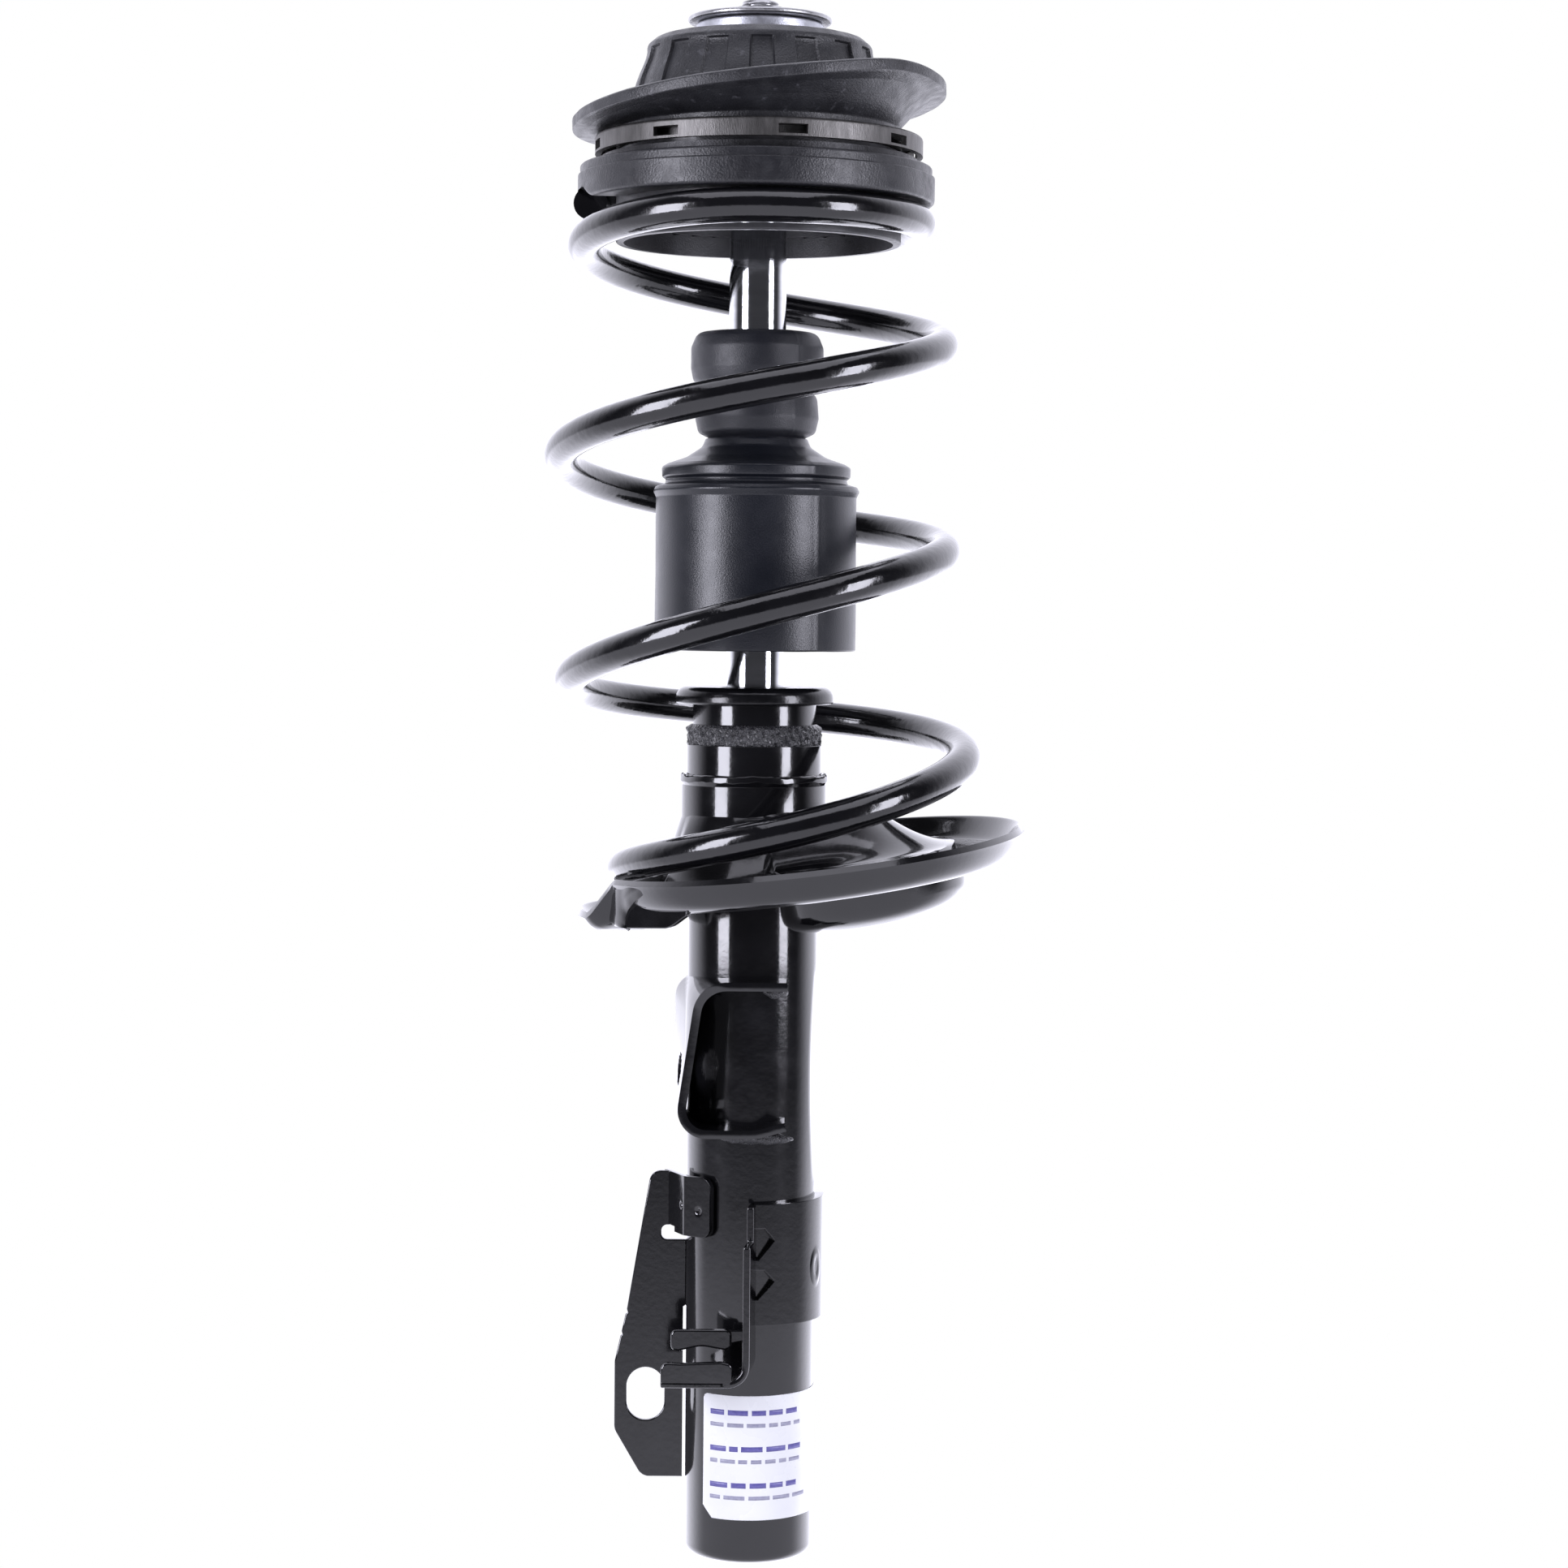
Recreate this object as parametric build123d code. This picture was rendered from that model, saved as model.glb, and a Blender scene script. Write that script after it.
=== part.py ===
from build123d import *

import os
from math import cos, pi, sin, sqrt

# Front suspension strut for a car, complete with spring and top mount, at full extension.
# Millimetres. +Z runs up the strut's axis and the origin is the centre of the tube's bottom.
# +X is the side to which the lower spring seat is offset, and the link bracket faces -Y.

# Shock absorber
TUBE_R = 25.0
LAND_TOP = 15.4
GROOVE_TOP = 16.6
GROOVE_DEPTH = 0.4
TUBE_WALL = 2.2
TUBE_CORNER = 4.0
NECK_R = 23.9
NECK_BOTTOM = 322.0
TUBE_TOP = 333.0
LIP_WALL = 1.8
PLUG_R = 14.0
DENT_DEPTH = 1.8
DENT_BOTTOM = 145.0
DENT_TOP = 227.0
CYLINDER_BORE_R = 15.0
CYLINDER_R = 16.6
CYLINDER_BOTTOM = 12.0
CYLINDER_TOP = 312.0
GUIDE_TOP = 325.0
BUSH_R = 13.0
SLIDE_GAP = 0.05
ROD_R = 11.0
ROD_THREAD_R = 7.0
ROD_SPIGOT_R = 6.0
ROD_TOP = 600.0
ROD_SHOULDER = 560.0
ROD_BOTTOM = 170.0
PISTON_BOTTOM = 185.0
PISTON_TOP = 203.0
REBOUND_STOP_BOTTOM = 290.0

# Upper tube fittings
SLEEVE_R = 26.1
SLEEVE_BOTTOM = 286.0
SLEEVE_TOP = 314.0
COLLAR_R = 28.2
COLLAR_TOP = 302.7
CAP_R = 30.5
CAP_BOTTOM = 329.8
CAP_TOP = 336.4

# Lower spring seat: a pan about its own tilted axis
PAN_CENTRE = (22.0, 0.0, 273.2)
PAN_TILT = (2.7, -7.7, 0.0)
PAN_R = 84.0
PAN_FLOOR_R = 79.0
PAN_DEPTH = 10.0
SHEET = 3.0
CONE_R = 41.0
CONE_BOTTOM = 258.0
POCKET_CENTRE_X = 16.0
POCKET_R = 84.0
POCKET_BORE_R = 46.0
POCKET_FLOOR = 243.0
POCKET_START = 112.0
POCKET_END = 216.0

# Coil spring: (turn, value) stations counted from the upper end
WIRE_R = 6.5
COIL_TURNS = 4.12
COIL_STEPS_PER_TURN = 8
COIL_HEIGHT = ((0, 522.5), (0.25, 515.0), (0.75, 515.0), (1, 505.8), (2, 425.4), (3, 345.0), (3.75, 284.2),
               (4, 267.0), (4.3, 256.0))
COIL_LEAN = ((0, 0.0), (1.75, 0.5), (3, 7.6), (3.5, 7.7), (4, 1.6), (4.3, 1.6))
COIL_RADIUS = ((0, 62.0), (0.5, 62.0), (1, 67.5), (1.5, 71.5), (2, 74.0), (3.5, 74.0), (4, 66.0), (4.3, 64.0))
COIL_SHIFT = ((0, 0.0), (1.5, 0.0), (2, -2.0), (2.5, -1.0), (3, 2.6), (3.5, 7.4), (4, 15.7), (4.3, 17.0))

# Upper spring seat and thrust bearing
SEAT_PLATE_BOTTOM = 531.0
SEAT_PLATE_TOP = 534.0
SEAT_BORE_R = 42.0
SEAT_R = 66.0
SKIRT_R = 55.0
SKIRT_BORE_R = 52.0
SKIRT_BOTTOM = 507.0
RIB_COUNT = 36
ISOLATOR_R = 68.7
ISOLATOR_BOTTOM = 522.2
ISOLATOR_TOP = 536.4
RACE_R = 61.0
RACE_TOP = 538.6
BALL_R = 3.0
BALL_CIRCLE_R = 50.0
BALL_COUNT = 24
BALL_HEIGHT = 541.2
BEARING_R = 63.2
BEARING_BOTTOM = 540.7
BEARING_TOP = 547.8
WINDOW_COUNT = 8

# Top mount
FLANGE_CENTRE = (0.0, 0.0, 559.4)
FLANGE_TILT = (-2.5, -5.8, 0.0)
FLANGE_R = 72.0
FLANGE_THICKNESS = 4.5
RUBBER_NECK_R = 53.5
RUBBER_BOTTOM = 548.0
DOME_BASE_R = 49.4
DOME_SHOULDER_R = 43.0
DOME_TOP = 586.2
DOME_POCKETS = 16
CORE_R = 16.0
CORE_FLANGE_R = 28.0
CORE_BOTTOM = 545.0
CORE_TOP = 585.5
MOUNT_COLLAR_R = 24.6
MOUNT_COLLAR_TOP = 591.2
WASHER_R = 27.7
WASHER_TOP = 594.0
NUT_FLATS = 22.0

# Bump stop and dust boot
BUMPER_R = 25.6
BUMPER_TOP = 473.0
BUMPER_NOSE = 415.0
BOOT_R = 38.9
BOOT_BOTTOM = 350.3
BOOT_WALL = 2.5

# Brackets
LINK_TOP = 225.0
LINK_BOTTOM = 165.5
LINK_PLATE = 3.3
LINK_LEFT = -29.8
LINK_FRONT_TOP_LEFT = -20.4
LINK_FRONT_BOTTOM_LEFT = -29.4
LINK_RIGHT = 13.7
LINK_REACH = 36.0
LINK_HOLE_R = 6.2
LINK_HOLE_Y = -22.0
LINK_HOLE_Z = 190.0
SIDE_PLATE = 2.7
SLOT_WIDTH = 14.6
SLOT_LENGTH = 20.5
SLOT_X = -40.2
SLOT_Z = 61.0
BAND_R = 28.4
BAND_BOTTOM = 92.8
BAND_TOP = 139.5
FIN = 2.7
FIN_REACH = 46.0
SHELF_BOTTOM = 72.5
SHELF_LEFT = -33.0
LABEL_BOTTOM = 17.3
LABEL_TOP = 65.2
LABEL_THICKNESS = 0.15


def turned(points):
    """Solid of revolution about Z. Each corner is (radius, height) or (radius, height, rounding)."""
    corners = [point[:2] for point in points]
    rounding = [point[2] if len(point) > 2 else 0 for point in points]
    outline = FilletPolyline(*corners, radius=rounding, close=True)
    return revolve(make_face(Plane.XZ * outline), Axis.Z)


def ring(outer, inner, bottom, top):
    """Plain ring about Z."""
    return turned([(inner, bottom), (outer, bottom), (outer, top), (inner, top)])


def sector(outer, inner, bottom, top, start, end):
    """Part of a ring about Z, from the start angle to the end angle, counted from +X."""
    outline = Polyline((inner, bottom), (outer, bottom), (outer, top), (inner, top), close=True)
    turn = revolve(make_face(Plane.XZ * outline), Axis.Z, end - start)
    return Rot(0, 0, start) * turn


def block(x_range, y_range, z_range):
    """Box between three pairs of limits."""
    size = [abs(pair[1] - pair[0]) for pair in (x_range, y_range, z_range)]
    middle = [(pair[1] + pair[0]) / 2 for pair in (x_range, y_range, z_range)]
    return Pos(*middle) * Box(*size)


def pressed(outline, thickness, back=0):
    """Plate cut to an outline in XZ, from the depth y = back towards -Y."""
    return Pos(0, back, 0) * extrude(make_face(Plane.XZ * outline), amount=thickness, dir=(0, -1, 0))


def rod_shape(radius, bottom, top):
    """Cylinder about Z between two heights."""
    return Pos(0, 0, (bottom + top) / 2) * Cylinder(radius, top - bottom)


def along(stations, place):
    """Value at a place on a smooth curve through (place, value) stations."""
    last = len(stations) - 1
    index = next((i for i in range(last) if place <= stations[i + 1][0]), last - 1)
    (start, low), (end, high) = stations[index], stations[index + 1]

    def slope(i):
        if i in (0, last):
            return 0.0
        before, here, after = stations[i - 1:i + 2]
        left = (here[1] - before[1]) / (here[0] - before[0])
        right = (after[1] - here[1]) / (after[0] - here[0])
        return 0.0 if left * right <= 0 else 2 * left * right / (left + right)

    span = end - start
    t = (place - start) / span
    rise = (1 + 2 * t) * (1 - t) ** 2 * low + t * t * (3 - 2 * t) * high
    return rise + span * (t * (1 - t) ** 2 * slope(index) - t * t * (1 - t) * slope(index + 1))


def coil_point(turn):
    """Centre of the wire at a turn, counted down from the upper end at -X, by way of +Y."""
    angle = pi - 2 * pi * turn
    radius = along(COIL_RADIUS, turn)
    height = along(COIL_HEIGHT, turn) + along(COIL_LEAN, turn) * cos(angle)
    return (along(COIL_SHIFT, turn) + radius * cos(angle), radius * sin(angle), height)


# Shock absorber

def strut_tube():
    bore_r = TUBE_R - TUBE_WALL
    neck_bore = NECK_R - TUBE_WALL
    lip = TUBE_TOP - LIP_WALL
    groove_r = TUBE_R - GROOVE_DEPTH
    body = turned([(PLUG_R, 0), (TUBE_R, 0, TUBE_CORNER), (TUBE_R, LAND_TOP), (groove_r, LAND_TOP),
                   (groove_r, GROOVE_TOP), (TUBE_R, GROOVE_TOP), (TUBE_R, SLEEVE_TOP), (NECK_R, NECK_BOTTOM),
                   (NECK_R, TUBE_TOP, 1.6), (18.0, TUBE_TOP), (18.0, lip), (neck_bore, lip),
                   (neck_bore, NECK_BOTTOM), (bore_r, SLEEVE_TOP + 1), (bore_r, TUBE_WALL, 2.0),
                   (PLUG_R, TUBE_WALL)])
    half = (DENT_TOP - DENT_BOTTOM) / 2
    dent_r = (half ** 2 + DENT_DEPTH ** 2) / (2 * DENT_DEPTH)
    place = Pos(TUBE_R - DENT_DEPTH + dent_r, 0, DENT_BOTTOM + half) * Rot(90, 0, 0)
    dent = place * Cylinder(dent_r, 4 * TUBE_R)
    backing = place * Cylinder(dent_r + TUBE_WALL, 4 * TUBE_R)
    return body + (backing & rod_shape(TUBE_R - 0.5, DENT_BOTTOM, DENT_TOP)) - dent


def base_plug():
    return turned([(0, 0), (PLUG_R, 0), (PLUG_R, TUBE_WALL), (20.0, TUBE_WALL), (20.0, 6.0), (0, 6.0)])


def base_valve():
    body = turned([(0, 6.0), (CYLINDER_R, 6.0), (CYLINDER_R, CYLINDER_BOTTOM),
                   (CYLINDER_BORE_R, CYLINDER_BOTTOM), (CYLINDER_BORE_R, 18.0), (3.0, 18.0), (3.0, 22.0),
                   (0, 22.0)])
    for port in range(6):
        body -= Rot(0, 0, 60 * port) * Pos(9.0, 0, 12) * Cylinder(1.5, 14)
        body -= Rot(0, 0, 60 * port) * Pos(13.5, 0, 6.6) * Box(9, 4, 1.8)
    return body


def base_valve_discs():
    return ring(11.5, 3.0, 18.0, 19.4)


def inner_cylinder():
    return ring(CYLINDER_R, CYLINDER_BORE_R, CYLINDER_BOTTOM, CYLINDER_TOP)


def rod_guide():
    neck_bore = NECK_R - TUBE_WALL
    low = CYLINDER_TOP
    return turned([(BUSH_R, low - 6), (CYLINDER_BORE_R, low - 6), (CYLINDER_BORE_R, low),
                   (TUBE_R - TUBE_WALL, low), (TUBE_R - TUBE_WALL, low + 2.5), (neck_bore - 0.2, low + 4.5),
                   (neck_bore - 0.2, GUIDE_TOP), (BUSH_R, GUIDE_TOP)])


def guide_bush():
    return ring(BUSH_R, ROD_R + SLIDE_GAP, CYLINDER_TOP - 5, GUIDE_TOP - 1)


def rod_seal():
    outer = NECK_R - TUBE_WALL
    lip = TUBE_TOP - LIP_WALL
    return turned([(ROD_R + SLIDE_GAP, GUIDE_TOP + 1), (13.0, GUIDE_TOP), (outer, GUIDE_TOP), (outer, lip),
                   (14.0, lip), (12.6, GUIDE_TOP + 3.5), (ROD_R + SLIDE_GAP, lip - 0.6)])


def piston_rod():
    return turned([(0, ROD_BOTTOM), (ROD_SPIGOT_R - 0.8, ROD_BOTTOM), (ROD_SPIGOT_R, ROD_BOTTOM + 0.8),
                   (ROD_SPIGOT_R, PISTON_TOP), (ROD_R, PISTON_TOP), (ROD_R, ROD_SHOULDER),
                   (ROD_THREAD_R, ROD_SHOULDER), (ROD_THREAD_R, ROD_TOP - 1.2),
                   (ROD_THREAD_R - 1.2, ROD_TOP), (0, ROD_TOP)])


def piston():
    body = turned([(ROD_SPIGOT_R, PISTON_BOTTOM), (14.7, PISTON_BOTTOM), (14.7, PISTON_BOTTOM + 5),
                   (13.6, PISTON_BOTTOM + 5), (13.6, PISTON_BOTTOM + 13), (14.7, PISTON_BOTTOM + 13),
                   (14.7, PISTON_TOP), (ROD_SPIGOT_R, PISTON_TOP)])
    for port in range(6):
        body -= Rot(0, 0, 60 * port) * Pos(10.0, 0, (PISTON_BOTTOM + PISTON_TOP) / 2) * Cylinder(1.4, 20)
    return body


def piston_ring():
    return ring(CYLINDER_BORE_R - SLIDE_GAP, 13.6, PISTON_BOTTOM + 5, PISTON_BOTTOM + 13)


def piston_discs():
    return ring(12.0, ROD_SPIGOT_R, PISTON_BOTTOM - 3, PISTON_BOTTOM)


def hex_nut(flats, bore_r, bottom, top):
    """Hexagon nut about Z."""
    across = flats / sqrt(3)
    prism = extrude(Pos(0, 0, bottom) * RegularPolygon(across, 6), top - bottom)
    crown = turned([(0, bottom), (across - 1, bottom), (across, bottom + 0.8), (across, top - 0.8),
                    (across - 1, top), (0, top)])
    return (prism & crown) - rod_shape(bore_r, bottom - 1, top + 1)


def piston_nut():
    return hex_nut(17.0, ROD_SPIGOT_R, ROD_BOTTOM + 2, PISTON_BOTTOM - 3)


def rebound_stop():
    return ring(14.2, ROD_R, REBOUND_STOP_BOTTOM, REBOUND_STOP_BOTTOM + 5)


def rebound_cushion():
    low = REBOUND_STOP_BOTTOM + 5
    high = CYLINDER_TOP - 6.3
    return turned([(ROD_R, low), (14.2, low, 1.5), (14.2, high, 2.5), (ROD_R, high)])


# Upper tube fittings

def sleeve():
    return ring(SLEEVE_R, TUBE_R, SLEEVE_BOTTOM, SLEEVE_TOP)


def sleeve_weld():
    return turned([(TUBE_R, SLEEVE_TOP), (SLEEVE_R, SLEEVE_TOP, 1.0), (SLEEVE_R + 0.1, NECK_BOTTOM - 1, 1.5),
                   (NECK_R + 0.02, NECK_BOTTOM)])


def bump_cap():
    return turned([(13.0, TUBE_TOP), (13.0, CAP_TOP - 1), (14.0, CAP_TOP), (CAP_R, CAP_TOP, 3.5),
                   (CAP_R, CAP_BOTTOM, 0.8), (NECK_R, CAP_BOTTOM), (NECK_R, TUBE_TOP)])


def seat_collar():
    return turned([(SLEEVE_R, 288.0), (COLLAR_R, 288.0), (COLLAR_R, COLLAR_TOP - 3, 1.0),
                   (COLLAR_R + 0.6, COLLAR_TOP - 2, 0.6), (COLLAR_R + 0.2, COLLAR_TOP, 0.8),
                   (SLEEVE_R, COLLAR_TOP)])


# Lower spring seat

def tilted(shape):
    """Put a shape made about the pan's own axis in its place on the strut."""
    return Location(PAN_CENTRE, PAN_TILT) * shape


def pan_disc():
    """The pan alone, about its own axis with its rim at height 0."""
    low = -PAN_DEPTH
    return turned([(0, low), (PAN_FLOOR_R, low, 4.0), (PAN_R, 0, 0.6), (PAN_R - SHEET, 0, 0.6),
                   (PAN_FLOOR_R - SHEET, low + SHEET, 2.0), (0, low + SHEET)])


def pocket_column(outer, inner):
    """Upright sector over the low pocket."""
    column = sector(outer, inner, POCKET_FLOOR - 30, POCKET_FLOOR + 60, POCKET_START, POCKET_END)
    return Pos(POCKET_CENTRE_X, 0, 0) * column


def low_pocket():
    """Ring-shaped tray that holds the coil's lower end."""
    floor_top = POCKET_FLOOR + SHEET
    inner = POCKET_BORE_R + SHEET
    tray = turned([(POCKET_BORE_R, POCKET_FLOOR), (POCKET_R - 4, POCKET_FLOOR, 3.0),
                   (POCKET_R, floor_top + 4, 0.6), (POCKET_R - SHEET, floor_top + 4, 0.6),
                   (POCKET_R - 4 - SHEET, floor_top), (inner, floor_top), (inner, 266.0),
                   (POCKET_BORE_R, 266.0)])
    return Pos(POCKET_CENTRE_X, 0, 0) * tray & pocket_column(POCKET_R + 1, POCKET_BORE_R - 2)


def pocket_walls():
    """Radial walls that join the tray's two ends to the pan."""
    walls = []
    for start in (POCKET_START - 1.5, POCKET_END - 1.5):
        wall = sector(POCKET_R - 5, POCKET_BORE_R, POCKET_FLOOR, 300, start, start + 3)
        walls.append(Pos(POCKET_CENTRE_X, 0, 0) * wall)
    under_rim = tilted(rod_shape(PAN_FLOOR_R + 1, -60, -PAN_DEPTH + SHEET))
    return [wall & under_rim for wall in walls]


def lower_seat():
    cone = turned([(SLEEVE_R, 288.0), (COLLAR_R, 288.0, 1.0), (32.0, 275.0, 8.0), (CONE_R, 266.0),
                   (CONE_R, CONE_BOTTOM), (30.0, 262.0, 4.0), (SLEEVE_R - 0.6, 272.0),
                   (SLEEVE_R - 0.6, 286.0), (SLEEVE_R, 286.0)])
    platform = tilted(Pos(8, 0, 0) * rod_shape(50, -PAN_DEPTH + 1, -PAN_DEPTH + SHEET + 3))
    platform &= block((4, 200), (-100, 100), (200, 320))
    pan = tilted(pan_disc()) + platform
    pan -= pocket_column(PAN_R + 20, POCKET_BORE_R)
    pan -= rod_shape(CONE_R - 1, 200, 320)
    seat = pan + cone + low_pocket()
    for wall in pocket_walls():
        seat += wall
    return seat - rod_shape(TUBE_R, 200, 320) - rod_shape(SLEEVE_R, 286.0, 320)


def lower_pad():
    pad = sector(72.0, 54.0, POCKET_FLOOR + SHEET, 251.5, 132.0, 184.0)
    return Pos(POCKET_CENTRE_X, 0, 0) * pad


def seat_support():
    low = -PAN_DEPTH
    cup = turned([(34.0, low), (36.5, low), (34.0, low - 14.5, 9.0), (0, low - 15), (0, low - 12),
                  (32.0, low - 11.7, 7.0)])
    support = tilted(Pos(23, 0, 0) * cup)
    return support - rod_shape(TUBE_R, 200, 320) - rod_shape(CONE_R, CONE_BOTTOM, 320)


def coil_spring():
    steps = round(COIL_TURNS * COIL_STEPS_PER_TURN)
    places = [COIL_TURNS * step / steps for step in range(steps + 1)]
    path = Spline(*[coil_point(place) for place in places])
    return sweep(Plane(origin=path @ 0, z_dir=path % 0) * Circle(WIRE_R), path=path, is_frenet=True)


# Upper spring seat and bearing

def upper_seat():
    seat = turned([(SKIRT_BORE_R, SKIRT_BOTTOM), (SKIRT_R, SKIRT_BOTTOM, 0.8), (SKIRT_R, SEAT_PLATE_BOTTOM),
                   (SEAT_R, SEAT_PLATE_BOTTOM), (SEAT_R, SEAT_PLATE_TOP), (SEAT_BORE_R, SEAT_PLATE_TOP),
                   (SEAT_BORE_R, SEAT_PLATE_BOTTOM), (SKIRT_BORE_R, SEAT_PLATE_BOTTOM)])
    inner_ring = ring(47.0, 45.5, 514.6, SEAT_PLATE_BOTTOM + 0.5)
    rib = block((46.5, SKIRT_BORE_R + 0.5), (-0.7, 0.7), (514.6, SEAT_PLATE_BOTTOM + 0.5))
    for place in range(RIB_COUNT):
        seat += Rot(0, 0, 360 / RIB_COUNT * place) * rib
    return seat + inner_ring


def upper_isolator():
    lip_r = ISOLATOR_R - 0.6
    bore = SKIRT_R + 0.2
    body = turned([(bore, ISOLATOR_BOTTOM), (ISOLATOR_R, ISOLATOR_BOTTOM, 1.5), (ISOLATOR_R, 532.7, 0.5),
                   (lip_r, 532.7), (lip_r, ISOLATOR_TOP, 1.0), (SEAT_R - 2, ISOLATOR_TOP),
                   (SEAT_R - 2, SEAT_PLATE_TOP), (SEAT_R, SEAT_PLATE_TOP), (SEAT_R, SEAT_PLATE_BOTTOM),
                   (bore, SEAT_PLATE_BOTTOM)])
    return body - sector(ISOLATOR_R + 2, SKIRT_R, ISOLATOR_BOTTOM - 4, 529.8, 84.0, 188.0)


def ball_groove(height):
    """Groove in which the balls run, as a tool to cut with."""
    return Pos(0, 0, height) * Torus(BALL_CIRCLE_R, BALL_R + 0.3)


def bearing_lower_race():
    return ring(RACE_R, SEAT_BORE_R + 2, SEAT_PLATE_TOP, RACE_TOP + 0.8) - ball_groove(BALL_HEIGHT)


def bearing_balls():
    ball = Pos(BALL_CIRCLE_R, 0, BALL_HEIGHT) * Sphere(BALL_R)
    return Compound(children=[Rot(0, 0, 360 / BALL_COUNT * place) * ball for place in range(BALL_COUNT)])


def ball_cage():
    cage = ring(BALL_CIRCLE_R + 4.2, BALL_CIRCLE_R - 4.2, 540.3, 542.1)
    hole = Pos(BALL_CIRCLE_R, 0, BALL_HEIGHT) * Cylinder(BALL_R + 0.1, 4)
    for place in range(BALL_COUNT):
        cage -= Rot(0, 0, 360 / BALL_COUNT * place) * hole
    return cage


def bearing_case():
    case = turned([(CORE_FLANGE_R + 1.5, BEARING_TOP - 2.2), (BEARING_R - 2.4, BEARING_TOP - 2.2),
                   (BEARING_R - 2.4, BEARING_BOTTOM), (BEARING_R, BEARING_BOTTOM),
                   (BEARING_R, BEARING_TOP, 1.2), (CORE_FLANGE_R + 1.5, BEARING_TOP)])
    lands = ring(BALL_CIRCLE_R + 5, BALL_CIRCLE_R - 5, 542.8, BEARING_TOP - 2) - ball_groove(BALL_HEIGHT)
    window = block((BEARING_R - 4, BEARING_R + 2), (-5.6, 5.6), (541.6, 545.2))
    for place in range(WINDOW_COUNT):
        case -= Rot(0, 0, 360 / WINDOW_COUNT * place - 78) * window
    return case + lands


# Top mount

def mount_flange():
    """Flange of the rubber, which is a tilted disc on a conical skirt."""
    half = FLANGE_THICKNESS / 2
    disc = turned([(CORE_R, -11.0), (RUBBER_NECK_R, -10.0), (FLANGE_R - 6, -half - 1), (FLANGE_R - 2, -half),
                   (FLANGE_R, -half, 1.5), (FLANGE_R, half, 1.5), (DOME_BASE_R, half + 0.6),
                   (CORE_R, half + 0.6)])
    return Location(FLANGE_CENTRE, FLANGE_TILT) * disc


def mount_plate():
    return Location(FLANGE_CENTRE, FLANGE_TILT) * ring(66.0, 30.0, -0.9, 0.9)


def mount_rubber():
    dome = turned([(CORE_R, RUBBER_BOTTOM), (RUBBER_NECK_R, RUBBER_BOTTOM), (DOME_BASE_R + 1, 560.0),
                   (DOME_BASE_R, 561.0), (DOME_SHOULDER_R, DOME_TOP - 3, 2.0),
                   (DOME_SHOULDER_R - 4, DOME_TOP, 3.0), (MOUNT_COLLAR_R, DOME_TOP),
                   (MOUNT_COLLAR_R, CORE_TOP), (CORE_R, CORE_TOP)])
    rubber = dome + mount_flange()
    rubber -= rod_shape(FLANGE_R + 10, 500, RUBBER_BOTTOM)
    pocket = block((DOME_SHOULDER_R + 0.9, DOME_BASE_R + 9), (-4.3, 4.3), (569.0, 580.5))
    for place in range(DOME_POCKETS):
        rubber -= Rot(0, 0, 360 / DOME_POCKETS * (place + 0.5) - 90) * pocket
    return rubber - mount_plate() - rod_shape(CORE_R, 500, 600) - rod_shape(CORE_FLANGE_R, 540, 549)


def mount_core():
    return turned([(ROD_R + 0.1, CORE_BOTTOM), (CORE_FLANGE_R, CORE_BOTTOM, 0.8), (CORE_FLANGE_R, 549.0),
                   (CORE_R, 549.0), (CORE_R, CORE_TOP), (ROD_THREAD_R + 0.1, CORE_TOP),
                   (ROD_THREAD_R + 0.1, ROD_SHOULDER), (ROD_R + 0.1, ROD_SHOULDER)])


def mount_collar():
    return turned([(17.5, CORE_TOP), (MOUNT_COLLAR_R, CORE_TOP), (MOUNT_COLLAR_R, MOUNT_COLLAR_TOP, 0.8),
                   (19.5, MOUNT_COLLAR_TOP)])


def rebound_washer():
    bore = ROD_THREAD_R + 0.1
    return turned([(bore, CORE_TOP), (15.0, CORE_TOP, 1.5), (19.0, MOUNT_COLLAR_TOP, 1.5),
                   (WASHER_R, 592.0, 1.0), (WASHER_R, WASHER_TOP, 1.0), (18.0, WASHER_TOP - 0.4, 1.5),
                   (14.2, CORE_TOP + 2.4, 1.5), (bore, CORE_TOP + 2.4)])


def top_nut():
    return hex_nut(NUT_FLATS, ROD_THREAD_R, CORE_TOP + 2.4, 597.0)


# Bump stop and dust boot

def bump_stop():
    bore = ROD_R + 0.4
    return turned([(bore, BUMPER_NOSE), (17.0, BUMPER_NOSE, 2.0), (18.9, 421.0, 2.0), (18.9, 432.0, 1.0),
                   (24.2, 434.0, 2.0), (24.2, 448.0, 3.0), (20.0, 451.0, 1.5), (BUMPER_R, 454.0, 3.0),
                   (BUMPER_R, BUMPER_TOP, 4.0), (bore, BUMPER_TOP)])


def dust_boot():
    wall = BOOT_WALL
    return turned([(19.0, 431.5), (20.5, 431.5), (34.7, 422.5), (36.5, 422.0, 0.8), (36.5, 417.0, 0.8),
                   (35.4, 415.0), (39.9, 413.4, 0.8), (39.9, 410.8, 0.8), (BOOT_R - 0.2, 408.0),
                   (BOOT_R, BOOT_BOTTOM, 0.6),
                   (BOOT_R - wall, BOOT_BOTTOM, 0.6), (BOOT_R - wall, 410.0), (33.4, 418.0), (19.0, 427.9)])


# Brackets and label

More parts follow.
